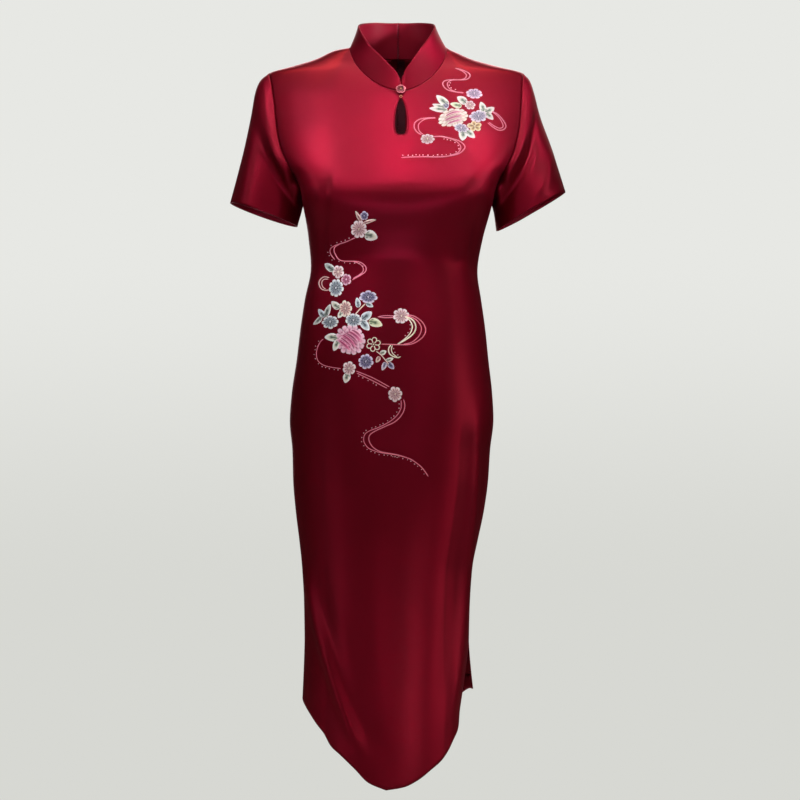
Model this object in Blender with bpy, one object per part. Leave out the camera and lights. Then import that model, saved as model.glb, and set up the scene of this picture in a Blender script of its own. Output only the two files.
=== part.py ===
"""Cheongsam dress in its worn, hollow shape: a satin front with a keyhole opening, two back
halves on a centre seam with a concealed zip, two set-in sleeves, a split stand collar and a
rose button. Metres, +Z up, the front faces -Y. The origin lies on the wearer's shoulder line,
midway between the two armholes.
"""
import math
from collections import namedtuple

import bmesh
import bpy
import numpy as np
from mathutils import Matrix, Vector

for old in list(bpy.data.objects):
    bpy.data.objects.remove(old)

# ---------------------------------------------------------------- driving dimensions
CLOTH = 0.0015              # satin with its backing
COLLAR_CLOTH = 0.0020       # two satin layers and interfacing
SEAM_GAP = 0.0003           # between neighbouring pieces at a seam
MITRE_LIMIT = 1.1           # how much deeper than the cloth a wall may run at a sharp seam
FRONT, BACK = -1.0, 1.0     # the face's side of the Y axis
LEFT, RIGHT = -1.0, 1.0     # the half's side of the X axis

# Level sections through the body, from the inner end of the shoulder seam to below the hem.
# half_width is at y = 0; front and back are the depths at the middle; a squareness of 2 is
# an ellipse and more is boxier, as where the cloth is stretched from bust to bust.
Section = namedtuple(
    "Section", "z half_width front back centre_x front_square back_square")
SECTIONS = (
    Section(0.0185, 0.0730, 0.014, 0.018, 0.0030, 2.00, 1.90),      # side neck point
    Section(0.0140, 0.0880, 0.022, 0.032, -0.0045, 2.00, 1.90),
    Section(0.0000, 0.1190, 0.034, 0.056, -0.0035, 2.00, 1.80),
    Section(-0.0120, 0.1600, 0.041, 0.066, -0.0020, 2.00, 1.75),
    Section(-0.0205, 0.1905, 0.047, 0.073, 0.0000, 2.05, 1.75),     # shoulder tip
    Section(-0.0350, 0.2030, 0.057, 0.082, 0.0010, 2.10, 1.80),
    Section(-0.0580, 0.2065, 0.0710, 0.0910, 0.0020, 2.25, 1.90),
    Section(-0.0900, 0.2040, 0.0855, 0.0980, 0.0030, 2.60, 2.00),
    Section(-0.1200, 0.1960, 0.0983, 0.1020, 0.0030, 3.10, 2.15),
    Section(-0.1500, 0.1810, 0.1104, 0.1040, 0.0030, 3.70, 2.30),
    Section(-0.1700, 0.1660, 0.1180, 0.1040, 0.0030, 4.20, 2.35),
    Section(-0.1850, 0.1515, 0.1234, 0.1030, 0.0030, 4.60, 2.35),
    Section(-0.1950, 0.1460, 0.1265, 0.1020, 0.0030, 4.80, 2.35),
    Section(-0.2050, 0.1425, 0.1289, 0.1005, 0.0028, 4.80, 2.35),
    Section(-0.2175, 0.1405, 0.1304, 0.0990, 0.0025, 4.50, 2.30),   # underarm and bust
    Section(-0.2290, 0.1385, 0.1293, 0.0975, 0.0020, 4.00, 2.30),
    Section(-0.2400, 0.1360, 0.1262, 0.0960, 0.0015, 3.50, 2.30),
    Section(-0.2700, 0.1300, 0.1145, 0.0910, -0.0005, 2.75, 2.25),
    Section(-0.3150, 0.1248, 0.1000, 0.085, -0.0027, 2.30, 2.20),   # waist
    Section(-0.3600, 0.1320, 0.1035, 0.092, -0.0045, 2.30, 2.20),
    Section(-0.4050, 0.1385, 0.1080, 0.104, -0.0047, 2.30, 2.20),
    Section(-0.4500, 0.1435, 0.1115, 0.115, -0.0051, 2.30, 2.20),
    Section(-0.5000, 0.1500, 0.1125, 0.122, -0.0060, 2.30, 2.20),
    Section(-0.5400, 0.1525, 0.1115, 0.125, -0.0065, 2.30, 2.20),   # hip
    Section(-0.5850, 0.1480, 0.1085, 0.124, -0.0071, 2.30, 2.20),
    Section(-0.6300, 0.1460, 0.1055, 0.121, -0.0080, 2.30, 2.20),
    Section(-0.6750, 0.1410, 0.1025, 0.117, -0.0092, 2.30, 2.20),
    Section(-0.7200, 0.1335, 0.1000, 0.113, -0.0112, 2.30, 2.20),
    Section(-0.7650, 0.1265, 0.0985, 0.110, -0.0135, 2.30, 2.20),   # knee
    Section(-0.8100, 0.1240, 0.0985, 0.109, -0.0137, 2.30, 2.20),
    Section(-0.8800, 0.1230, 0.1000, 0.110, -0.0138, 2.30, 2.20),
    Section(-0.9500, 0.1230, 0.1020, 0.112, -0.0139, 2.30, 2.20),
    Section(-1.0800, 0.1230, 0.1040, 0.114, -0.0142, 2.30, 2.20),
)
SHOULDER_TIP_Z = -0.0205
UNDERARM_Z = -0.2175

# The armhole seam: its distance from the body's centre at each height, front and back.
Armhole = namedtuple("Armhole", "z front_x back_x")
ARMHOLE = (
    Armhole(SHOULDER_TIP_Z, 0.1905, 0.1905),
    Armhole(-0.0400, 0.1865, 0.1885),
    Armhole(-0.0700, 0.1825, 0.1860),
    Armhole(-0.1050, 0.1785, 0.1810),
    Armhole(-0.1400, 0.1715, 0.1735),
    Armhole(-0.1650, 0.1610, 0.1615),
    Armhole(-0.1850, 0.1500, 0.1490),
    Armhole(-0.2000, 0.1435, 0.1425),
    Armhole(UNDERARM_Z, 0.1405, 0.1405),
)

# The neck seam runs from the shoulder seams down to the centre front and centre back.
NECK_SIDE_Z = 0.0185
NECK_HALF_WIDTH = 0.0730
NECK_SIDE_X = 0.0030
NECK_FRONT_X = 0.0072
NECK_FRONT_DROP = 0.0775
NECK_BACK_DROP = 0.0225
NECK_POINT = 1.75           # exponent of the seam's curve, a little more pointed than round
NAPE_RISE = 0.020           # the upper back tilts up to the nape
NAPE_DEPTH = 0.066
NAPE_REACH_X = 0.150
NAPE_REACH_Z = 0.150

# The keyhole is a teardrop slit on the centre front, closed at its top by the button.
KEYHOLE_TOP_Z = -0.0705
KEYHOLE_BOTTOM_Z = -0.1285
KEYHOLE_HALF_WIDTH = 0.0094
KEYHOLE_TAPER = 0.60        # exponent of its pointed top
KEYHOLE_ROUND = 0.28        # exponent of its round bottom

# The hem is an arc, lowest at the centre, and the side seams stop at the slits.
HEM_CORNER_Z = -0.953
HEM_FRONT_Z = -1.0715
HEM_BACK_Z = -1.0650
# How far the hem has risen at a share of a half's width, from the centre to the slit. In
# front the wearer's stance has pushed the arc a little out of true.
HemRise = namedtuple("HemRise", "share front_left front_right back")
HEM_RISE = (
    HemRise(0.00, 0.000, 0.000, 0.000),
    HemRise(0.14, 0.090, 0.035, 0.100),
    HemRise(0.25, 0.250, 0.110, 0.250),
    HemRise(0.37, 0.405, 0.235, 0.430),
    HemRise(0.46, 0.505, 0.330, 0.580),
    HemRise(0.53, 0.645, 0.440, 0.690),
    HemRise(0.60, 0.730, 0.560, 0.790),
    HemRise(0.73, 0.875, 0.705, 0.930),
    HemRise(0.84, 0.950, 0.920, 0.980),
    HemRise(1.00, 1.000, 1.000, 1.000),
)
SLIT_TOP_Z = -0.868
SLIT_REACH = 0.50           # share of a half's width that swings with its slit edge
SlitEdge = namedtuple("SlitEdge", "face side out away up")      # shift at the hem's corner
SLIT_EDGES = (
    SlitEdge(FRONT, LEFT, 0.0030, 0.0030, 0.0000),
    SlitEdge(FRONT, RIGHT, -0.0130, 0.0120, 0.0000),
    SlitEdge(BACK, LEFT, 0.0010, 0.0090, 0.0020),
    SlitEdge(BACK, RIGHT, 0.0070, 0.0080, 0.0085),
)

# Soft folds of the dress: a ridge (or a trough, with a negative height) along a line.
Fold = namedtuple("Fold", "face top_x top_z low_x low_z height half_width")
FOLDS = (
    Fold(FRONT, -0.126, -0.760, -0.046, -1.010, 0.0045, 0.017),
    Fold(FRONT, 0.112, -0.640, 0.080, -0.990, 0.0040, 0.015),
    Fold(FRONT, -0.066, -0.800, -0.018, -1.050, -0.0020, 0.020),
    Fold(FRONT, -0.105, -0.250, -0.060, -0.330, -0.0018, 0.014),
    Fold(FRONT, 0.100, -0.245, 0.055, -0.330, -0.0018, 0.014),
    Fold(BACK, -0.085, -0.600, -0.062, -1.020, 0.0045, 0.018),
    Fold(BACK, 0.070, -0.650, 0.088, -1.000, 0.0040, 0.016),
    Fold(BACK, -0.075, -0.290, 0.060, -0.335, -0.0025, 0.014),
    Fold(BACK, -0.040, -0.360, 0.085, -0.325, 0.0022, 0.013),
)
FOLD_END = 0.18             # share of a fold's length over which it fades in and out

# Rings along each sleeve, from the armhole to the cuff: the ring's outer and inner points
# and half its depth from front to back.
SleeveRing = namedtuple("SleeveRing", "along outer_x outer_z inner_x inner_z half_depth")
SLEEVE_RINGS = {
    LEFT: (
        SleeveRing(0.00, 0.1905, SHOULDER_TIP_Z, 0.1380, UNDERARM_Z, 0.041),
        SleeveRing(0.08, 0.2030, -0.0310, 0.1390, -0.2200, 0.044),
        SleeveRing(0.18, 0.2105, -0.0490, 0.1400, -0.2230, 0.047),
        SleeveRing(0.35, 0.2165, -0.0850, 0.1415, -0.2295, 0.050),
        SleeveRing(0.60, 0.2260, -0.1310, 0.1440, -0.2380, 0.053),
        SleeveRing(0.80, 0.2365, -0.1730, 0.1458, -0.2440, 0.055),
        SleeveRing(1.00, 0.2480, -0.2160, 0.1475, -0.2505, 0.056),
    ),
    RIGHT: (
        SleeveRing(0.00, 0.1905, SHOULDER_TIP_Z, 0.1430, UNDERARM_Z, 0.041),
        SleeveRing(0.08, 0.2000, -0.0310, 0.1440, -0.2205, 0.044),
        SleeveRing(0.18, 0.2060, -0.0490, 0.1450, -0.2240, 0.047),
        SleeveRing(0.35, 0.2150, -0.0850, 0.1465, -0.2310, 0.050),
        SleeveRing(0.60, 0.2310, -0.1290, 0.1480, -0.2410, 0.053),
        SleeveRing(0.80, 0.2430, -0.1660, 0.1490, -0.2490, 0.055),
        SleeveRing(1.00, 0.2535, -0.1995, 0.1500, -0.2570, 0.056),
    ),
}
SLEEVE_RING_STEPS = (0.0, 0.05, 0.11, 0.19, 0.30, 0.43, 0.57, 0.71, 0.85, 1.0)
SLEEVE_Y = -0.006           # the arm hangs a little forward
SLEEVE_CAP_FADE = 0.55      # share of the sleeve that eases from the armhole's shape
SleeveFold = namedtuple(
    "SleeveFold", "side top_turn top_along low_turn low_along height half_turn")
SLEEVE_FOLDS = (
    SleeveFold(LEFT, 40.0, 0.30, 62.0, 1.00, 0.0035, 20.0),
    SleeveFold(LEFT, 95.0, 0.15, 100.0, 1.00, -0.0040, 24.0),
    SleeveFold(LEFT, 250.0, 0.25, 290.0, 0.95, -0.0035, 26.0),
    SleeveFold(RIGHT, 30.0, 0.22, 95.0, 0.60, -0.0040, 16.0),
    SleeveFold(RIGHT, 22.0, 0.60, 80.0, 0.95, 0.0030, 20.0),
    SleeveFold(RIGHT, 285.0, 0.30, 245.0, 1.00, -0.0035, 24.0),
)

# The collar's upper edge is an ellipse seen from above; its height follows the angle from
# the centre front, low where the two ends meet.
COLLAR_TOP_X = 0.0010
COLLAR_TOP_Y = -0.0090
COLLAR_TOP_HALF_WIDTH = 0.0580
COLLAR_TOP_HALF_DEPTH = 0.0590
COLLAR_SIDE_ANGLE = 98.0    # the upper edge's angle above the shoulder seam
COLLAR_HOLLOW = 0.0014      # how far the stand curves in between its two edges
CollarEdge = namedtuple("CollarEdge", "angle z")
COLLAR_EDGE = (
    CollarEdge(0.0, -0.0445),
    CollarEdge(7.0, -0.0305),
    CollarEdge(18.0, -0.0170),
    CollarEdge(33.0, 0.0000),
    CollarEdge(56.0, 0.0235),
    CollarEdge(75.0, 0.0400),
    CollarEdge(90.0, 0.0485),
    CollarEdge(120.0, 0.0585),
    CollarEdge(150.0, 0.0640),
    CollarEdge(180.0, 0.0655),
)

# The rose button sits on the neck seam over the collar's ends: rings of petals, each with
# its height above the rose's back, its radius, and how far its petals scallop the ring.
ROSE_RADIUS = 0.0074
ROSE_SEAT = 0.0017          # from the neck seam to the rose's back
ROSE_SEGMENTS = 30
RoseRing = namedtuple("RoseRing", "height radius scallop petals turn")
ROSE_RINGS = (
    RoseRing(0.0000, 0.62, 0.00, 5, 0.0),
    RoseRing(0.0006, 0.88, 0.10, 5, 0.0),
    RoseRing(0.0018, 1.00, 0.12, 5, 0.0),
    RoseRing(0.0027, 0.86, 0.10, 5, 0.0),
    RoseRing(0.0022, 0.68, 0.06, 5, 20.0),
    RoseRing(0.0039, 0.62, 0.12, 5, 36.0),
    RoseRing(0.0031, 0.42, 0.08, 3, 36.0),
    RoseRing(0.0050, 0.34, 0.16, 3, 60.0),
    RoseRing(0.0044, 0.14, 0.10, 3, 90.0),
)
SHANK_RADIUS = 0.0020
SHANK_SEAT = 0.0006         # from the neck seam to the shank's end
LOOP_RADIUS = 0.0018
LOOP_WIRE = 0.0005
LOOP_Z = -0.0688

# The zip's slider stands on the centre back near the collar's upper edge. Its bail is a low
# arch over the pull tab's crossbar, which is the hinge.
SLIDER_WIDTH = 0.0046
SLIDER_LENGTH = 0.0080
SLIDER_THICKNESS = 0.0018
SLIDER_DROP = 0.0130        # from the collar's upper edge to the slider's middle
BAIL_HALF_LENGTH = 0.0022
BAIL_HEIGHT = 0.0026
BAIL_METAL = 0.0007
BAIL_HALF_WIDTH = 0.0006
BAIL_SUNK = 0.0004
PIVOT_HEIGHT = 0.0010       # from the slider's face to the crossbar's axis
PIVOT_DROP = 0.0008         # from the bail's middle down to the crossbar's axis
PULL_LENGTH = 0.0150
PULL_HALF_WIDTH = 0.0030
PULL_NECK_HALF_WIDTH = 0.0020
PULL_METAL = 0.0008
PULL_WINDOW_LENGTH = 0.0034
PULL_WINDOW_HALF_WIDTH = 0.0011

# Mesh density.
NECK_COLUMNS = 6
SHOULDER_COLUMNS = 6
COLUMNS = NECK_COLUMNS + SHOULDER_COLUMNS
KEYHOLE_TOP_ROW = 1
KEYHOLE_BOTTOM_ROW = 7
UNDERARM_ROW = 13
SKIRT_ROWS = 20
ROWS = UNDERARM_ROW + SKIRT_ROWS
COLLAR_ROWS = 4
ARC_SAMPLES = 90

UP = np.array((0.0, 0.0, 1.0))

WINE_SATIN = (0.125, 0.004, 0.012)
ROSE_PINK = (0.62, 0.16, 0.20)
GOLD = (0.75, 0.52, 0.18)
ZIP_METAL = (0.16, 0.02, 0.03)


# ---------------------------------------------------------------- reading the tables
def curve_value(table, field, at):
    """Read a column on a smooth curve through the table's rows that never overshoots."""
    key = table[0]._fields[0]
    rows = sorted(table, key=lambda row: getattr(row, key))
    xs = [getattr(row, key) for row in rows]
    ys = [getattr(row, field) for row in rows]
    at = min(max(at, xs[0]), xs[-1])
    steps = [b - a for a, b in zip(xs, xs[1:])]
    rises = [(b - a) / step for a, b, step in zip(ys, ys[1:], steps)]
    slopes = [rises[0]]
    for before, after in zip(rises, rises[1:]):
        same_way = before * after > 0.0
        slopes.append(2.0 * before * after / (before + after) if same_way else 0.0)
    slopes.append(rises[-1])
    k = min(int(np.searchsorted(xs, at, side="right")) - 1, len(steps) - 1)
    t, step = (at - xs[k]) / steps[k], steps[k]
    return ((1 + 2 * t) * (1 - t) ** 2 * ys[k] + t * (1 - t) ** 2 * step * slopes[k]
            + t * t * (3 - 2 * t) * ys[k + 1] - t * t * (1 - t) * step * slopes[k + 1])


def section_at(face, z):
    """Centre x, half width, depth and squareness of the body on one face at a height."""
    depth, square = ("front", "front_square") if face == FRONT else ("back", "back_square")
    fields = ("centre_x", "half_width", depth, square)
    return [curve_value(SECTIONS, field, z) for field in fields]


def side_name(side):
    return "left" if side == LEFT else "right"


def ease(t):
    t = min(max(t, 0.0), 1.0)
    return t * t * (3.0 - 2.0 * t)


# ---------------------------------------------------------------- the body's skin
def body_point(face, x, z):
    """The cloth's outer face at width x and height z, on the front or the back."""
    centre, half, depth, square = section_at(face, z)
    share = min(abs(x - centre) / half, 1.0)
    return np.array((x, face * depth * (1.0 - share ** square) ** (1.0 / square), z))


def section_point(face, side, z, share):
    """The point that lies this share of the arc from the middle to the side seam."""
    centre, half, depth, square = section_at(face, z)
    turn = np.linspace(0.0, math.pi / 2.0, ARC_SAMPLES)
    wide = half * np.sin(turn) ** (2.0 / square)
    deep = depth * np.cos(turn) ** (2.0 / square)
    deep[-1] = 0.0
    length = np.concatenate(([0.0], np.cumsum(np.hypot(np.diff(wide), np.diff(deep)))))
    at = share * length[-1]
    return np.array((centre + side * np.interp(at, length, wide),
                     face * np.interp(at, length, deep), z))


def raise_nape(point):
    """Tilt the upper back up to the nape, so that the neck seam climbs behind."""
    x, y, z = point
    if y <= 0.0:
        return point
    near = max(0.0, 1.0 - (x / NAPE_REACH_X) ** 2) ** 2
    high = ease(1.0 + z / NAPE_REACH_Z)
    return np.array((x, y, z + NAPE_RISE * (y / NAPE_DEPTH) ** 2 * near * high))


def neck_edge(face, side, share):
    """Width and height on the neck seam, from the centre (0) to the shoulder seam (1)."""
    turn = share * math.pi / 2.0
    across = math.sin(turn) ** (2.0 / NECK_POINT)
    drop = NECK_FRONT_DROP if face == FRONT else NECK_BACK_DROP
    middle = NECK_FRONT_X if face == FRONT else NECK_SIDE_X
    centre = middle + (NECK_SIDE_X - middle) * share
    return np.array((centre + side * NECK_HALF_WIDTH * across,
                     NECK_SIDE_Z - drop * math.cos(turn) ** (2.0 / NECK_POINT)))


def shoulder_edge(side, share):
    """Width and height on the shoulder seam, from the neck (0) to the armhole (1)."""
    z = NECK_SIDE_Z + (SHOULDER_TIP_Z - NECK_SIDE_Z) * share
    centre, half = section_at(FRONT, z)[:2]
    return np.array((centre + side * half, z))


def spread(path, count):
    """Pick count + 1 evenly spaced points of a path that is given as a dense array."""
    reach = np.concatenate(([0.0], np.cumsum(np.linalg.norm(np.diff(path, axis=0), axis=1))))
    at = np.linspace(0.0, reach[-1], count + 1)
    return np.array([[np.interp(a, reach, path[:, k]) for k in range(path.shape[1])]
                     for a in at])


def top_edge(face, side):
    """The panel's upper edge in width and height: neck seam, then shoulder seam."""
    shares = np.linspace(0.0, 1.0, ARC_SAMPLES)
    neck = spread(np.array([neck_edge(face, side, s) for s in shares]), NECK_COLUMNS)
    shoulder = spread(np.array([shoulder_edge(side, s) for s in shares]), SHOULDER_COLUMNS)
    return np.concatenate((neck, shoulder[1:]))


def armhole_edge(face, side):
    """The armhole in width and height, evenly spaced along the seam itself."""
    field = "front_x" if face == FRONT else "back_x"
    path = []
    for z in np.linspace(SHOULDER_TIP_Z, UNDERARM_Z, ARC_SAMPLES):
        centre = section_at(face, z)[0]
        x = centre + side * curve_value(ARMHOLE, field, z)
        path.append(body_point(face, x, z))
    return spread(np.array(path), UNDERARM_ROW)[:, (0, 2)]


def keyhole_half_width(share):
    """Half the keyhole's width at a share of its height from the top."""
    peak = KEYHOLE_TAPER / (KEYHOLE_TAPER + KEYHOLE_ROUND)
    full = peak ** KEYHOLE_TAPER * (1.0 - peak) ** KEYHOLE_ROUND
    return (KEYHOLE_HALF_WIDTH * share ** KEYHOLE_TAPER
            * (1.0 - share) ** KEYHOLE_ROUND / full)


def centre_edge(face, side):
    """The centre front with the keyhole's edge, or the centre back, down to the underarm."""
    neck_x, neck_z = neck_edge(face, side, 0.0)
    low_x = section_at(face, UNDERARM_Z)[0]
    edge = []
    for row in range(UNDERARM_ROW + 1):
        opening = 0.0
        if face == BACK:
            z = neck_z + (UNDERARM_Z - neck_z) * row / UNDERARM_ROW
        elif row <= KEYHOLE_TOP_ROW:
            z = neck_z + (KEYHOLE_TOP_Z - neck_z) * row / KEYHOLE_TOP_ROW
            opening = SEAM_GAP / 2.0
        elif row <= KEYHOLE_BOTTOM_ROW:
            step = (row - KEYHOLE_TOP_ROW) / (KEYHOLE_BOTTOM_ROW - KEYHOLE_TOP_ROW)
            share = (1.0 - math.cos(math.pi * step)) / 2.0
            z = KEYHOLE_TOP_Z + (KEYHOLE_BOTTOM_Z - KEYHOLE_TOP_Z) * share
            opening = keyhole_half_width(share) if share < 1.0 else 0.0
        else:
            step = (row - KEYHOLE_BOTTOM_ROW) / (UNDERARM_ROW - KEYHOLE_BOTTOM_ROW)
            z = KEYHOLE_BOTTOM_Z + (UNDERARM_Z - KEYHOLE_BOTTOM_Z) * step
        below = ease((KEYHOLE_BOTTOM_Z - z) / (KEYHOLE_BOTTOM_Z - UNDERARM_Z))
        x = neck_x + (low_x - neck_x) * (below if face == FRONT else row / UNDERARM_ROW)
        edge.append((x + side * opening, z))
    return np.array(edge)


def hem_z(face, side, share):
    middle = HEM_FRONT_Z if face == FRONT else HEM_BACK_Z
    field = f"front_{side_name(side)}" if face == FRONT else "back"
    rise = curve_value(HEM_RISE, field, share)
    return middle + (HEM_CORNER_Z - middle) * rise


def swing_slit(face, side, point, share):
    """Move the cloth beside a slit: its edge swings out or in towards the hem."""
    low = (SLIT_TOP_Z - point[2]) / (SLIT_TOP_Z - HEM_CORNER_Z)
    if low <= 0.0:
        return point
    edge = next(e for e in SLIT_EDGES if (e.face, e.side) == (face, side))
    pull = min(low, 1.2) ** 1.3 * ease((share - 1.0 + SLIT_REACH) / SLIT_REACH)
    return point + pull * np.array((side * edge.out, face * edge.away, edge.up))


def half_panel(face, side):
    """Outer points of one half of the front or back: rows run down, columns outwards."""
    top, arm, middle = top_edge(face, side), armhole_edge(face, side), centre_edge(face, side)
    level = np.array([section_point(face, side, UNDERARM_Z, i / COLUMNS)[[0, 2]]
                      for i in range(COLUMNS + 1)])
    level[0] = middle[-1]
    grid = np.zeros((ROWS + 1, COLUMNS + 1, 3))
    for row in range(UNDERARM_ROW + 1):
        v = row / UNDERARM_ROW
        for i in range(COLUMNS + 1):
            u = i / COLUMNS
            x, z = ((1 - v) * top[i] + v * level[i] + (1 - u) * middle[row] + u * arm[row]
                    - (1 - u) * ((1 - v) * top[0] + v * level[0])
                    - u * ((1 - v) * top[-1] + v * level[-1]))
            grid[row, i] = body_point(face, x, z)
        if row == 0:
            grid[0, NECK_COLUMNS:, 1] = 0.0
    grid[UNDERARM_ROW, -1, 1] = 0.0
    for row in range(UNDERARM_ROW + 1, ROWS + 1):
        v = (row - UNDERARM_ROW) / SKIRT_ROWS
        for i in range(COLUMNS + 1):
            share = i / COLUMNS
            z = UNDERARM_Z + (hem_z(face, side, share) - UNDERARM_Z) * v
            grid[row, i] = swing_slit(face, side, section_point(face, side, z, share), share)
    return grid


def fold_height(face, point):
    """How far the folds lift the cloth at a point of a face."""
    x, _, z = point
    lift = 0.0
    for fold in FOLDS:
        if fold.face != face:
            continue
        line = np.array((fold.low_x - fold.top_x, fold.low_z - fold.top_z))
        length = np.linalg.norm(line)
        way = line / length
        to_point = np.array((x - fold.top_x, z - fold.top_z))
        along = to_point @ way / length
        off = (to_point[0] * way[1] - to_point[1] * way[0]) / fold.half_width
        fade = ease(along / FOLD_END) * ease((1.0 - along) / FOLD_END)
        lift += fold.height * math.exp(-off * off) * fade
    return lift


def grid_normals(grid, inside, wraps=False):
    """Unit normals of a grid of points, turned away from a point inside the garment."""
    if wraps:
        around = np.roll(grid, -1, axis=1) - np.roll(grid, 1, axis=1)
    else:
        around = np.gradient(grid, axis=1)
    normals = np.cross(np.gradient(grid, axis=0), around)
    normals /= np.linalg.norm(normals, axis=2, keepdims=True)
    turned = np.sum(normals * (grid - inside), axis=2) < 0.0
    normals[turned] *= -1.0
    return normals


def body_axis(grid):
    """A point inside the garment for each point: on its upright axis, at its height."""
    inside = grid.copy()
    inside[..., 0] = [[section_at(FRONT, z)[0] for z in row] for row in grid[..., 2]]
    inside[..., 1] = 0.0
    inside[..., 2] = np.minimum(grid[..., 2], -0.10)
    return inside


# ---------------------------------------------------------------- sleeves and collar
def sleeve_grid(side, armhole):
    """Outer points of a sleeve: rings run down from the armhole, columns around it."""
    columns = len(armhole)
    turns = [2.0 * math.pi * i / columns for i in range(columns)]

    def ring(along):
        outer_x, outer_z, inner_x, inner_z, deep = (
            curve_value(SLEEVE_RINGS[side], field, along)
            for field in ("outer_x", "outer_z", "inner_x", "inner_z", "half_depth"))
        outer = np.array((side * outer_x, SLEEVE_Y * min(along * 3.0, 1.0), outer_z))
        inner = np.array((side * inner_x, SLEEVE_Y * min(along * 3.0, 1.0), inner_z))
        middle, reach = (outer + inner) / 2.0, (outer - inner) / 2.0
        forward = np.array((0.0, -deep, 0.0))
        return np.array([middle + reach * math.cos(t) + forward * math.sin(t)
                         for t in turns])

    residue = armhole - ring(0.0)
    rings = [ring(along) + residue * (1.0 - ease(along / SLEEVE_CAP_FADE))
             for along in SLEEVE_RING_STEPS]
    return np.array(rings)


def sleeve_inside(grid):
    """A point inside the sleeve for each point: the middle of its ring."""
    return np.broadcast_to(grid.mean(axis=1, keepdims=True), grid.shape)


def sleeve_fold_height(side, turn, along):
    lift = 0.0
    for fold in SLEEVE_FOLDS:
        if fold.side != side:
            continue
        step = (along - fold.top_along) / (fold.low_along - fold.top_along)
        fade = ease(step / 0.3) * (1.0 if fold.low_along >= 1.0 else ease((1.0 - step) / 0.3))
        centre = fold.top_turn + (fold.low_turn - fold.top_turn) * min(max(step, 0.0), 1.0)
        off = (turn - centre) / fold.half_turn
        lift += fold.height * math.exp(-off * off) * fade
    return lift


def collar_grid(side, base):
    """Outer points of one half of the collar: rows run up, columns from front to back."""
    angles = [COLLAR_SIDE_ANGLE * i / NECK_COLUMNS for i in range(NECK_COLUMNS)]
    angles += [COLLAR_SIDE_ANGLE + (180.0 - COLLAR_SIDE_ANGLE) * i / NECK_COLUMNS
               for i in range(NECK_COLUMNS + 1)]
    grid = np.zeros((COLLAR_ROWS + 1, len(base), 3))
    for i, (low, angle) in enumerate(zip(base, angles)):
        turn = math.radians(angle)
        centre = NECK_FRONT_X + (COLLAR_TOP_X - NECK_FRONT_X) * min(angle / 40.0, 1.0)
        centre += (NECK_SIDE_X - COLLAR_TOP_X) * ease((angle - 90.0) / 90.0)
        high = np.array((centre + side * COLLAR_TOP_HALF_WIDTH * math.sin(turn),
                         COLLAR_TOP_Y - COLLAR_TOP_HALF_DEPTH * math.cos(turn),
                         curve_value(COLLAR_EDGE, "z", angle)))
        inwards = np.array((-side * math.sin(turn), math.cos(turn), 0.0))
        for row in range(COLLAR_ROWS + 1):
            t = row / COLLAR_ROWS
            hollow = COLLAR_HOLLOW * 4.0 * t * (1.0 - t) * math.sin(turn / 2.0)
            grid[row, i] = low + (high - low) * t + inwards * hollow
    return grid


# ---------------------------------------------------------------- seams
class Skin:
    """The outer points of a piece, its normals, and how far its seam edges draw back."""

    def __init__(self, grid, inside, wraps=False):
        self.outer = grid
        self.normals = grid_normals(grid, inside, wraps)
        self.mitre = np.ones(grid.shape[:2])
        self.shift = np.zeros_like(grid)


def join_normals(places, flat_axis=None):
    """Give neighbours one normal at a seam point, so that their walls end face to face."""
    own = [skin.normals[at].copy() for skin, at in places]
    mean = np.sum(own, axis=0)
    if flat_axis is not None:
        mean[flat_axis] = 0.0
    mean /= np.linalg.norm(mean)
    for (skin, at), normal in zip(places, own):
        skin.normals[at] = mean
        skin.mitre[at] = min(1.0 / max(float(normal @ mean), 1e-6), MITRE_LIMIT)
    even = sum(skin.mitre[at] for skin, at in places) / len(places)
    for skin, at in places:
        skin.mitre[at] = even


def join_armhole(sleeve, column, panel, row, line):
    """Join a sleeve to a panel. Low in the armhole they fold down like a closing book."""
    join_normals([(sleeve, (0, column)), (panel, (row, -1))])
    line = line / np.linalg.norm(line)
    ways = []
    for way in (sleeve.outer[1, column] - sleeve.outer[0, column],
                panel.outer[row + 1, -2] - panel.outer[row, -1]):
        way = way - line * (way @ line)
        ways.append(way / np.linalg.norm(way))
    if ways[0] @ ways[1] > 0.0:
        fold = ways[0] + ways[1]
        fold /= np.linalg.norm(fold)
        for skin, at in ((sleeve, (0, column)), (panel, (row, -1))):
            skin.normals[at] = fold


def draw_back(skin, at, along, towards):
    """Draw a piece's edge back from a seam by half the gap, square to the seam line."""
    across = np.cross(along, skin.normals[at])
    across /= np.linalg.norm(across)
    if across @ towards < 0.0:
        across = -across
    skin.shift[at] += across * SEAM_GAP / 2.0


def seam_line(points, i):
    """The direction of a seam line at its i-th point."""
    low, high = max(i - 1, 0), min(i + 1, len(points) - 1)
    return points[high] - points[low]


# ---------------------------------------------------------------- meshes
def new_object(name, bm, colour, roughness, metallic=0.0):
    bmesh.ops.recalc_face_normals(bm, faces=bm.faces)
    mesh = bpy.data.meshes.new(name)
    bm.to_mesh(mesh)
    bm.free()
    mesh.shade_smooth()
    mesh.set_sharp_from_angle(angle=math.radians(50.0))
    material = bpy.data.materials.new(name)
    material.use_nodes = True
    shader = material.node_tree.nodes["Principled BSDF"]
    shader.inputs["Base Color"].default_value = (*colour, 1.0)
    shader.inputs["Roughness"].default_value = roughness
    shader.inputs["Metallic"].default_value = metallic
    mesh.materials.append(material)
    obj = bpy.data.objects.new(name, mesh)
    bpy.context.scene.collection.objects.link(obj)
    return obj


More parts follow.
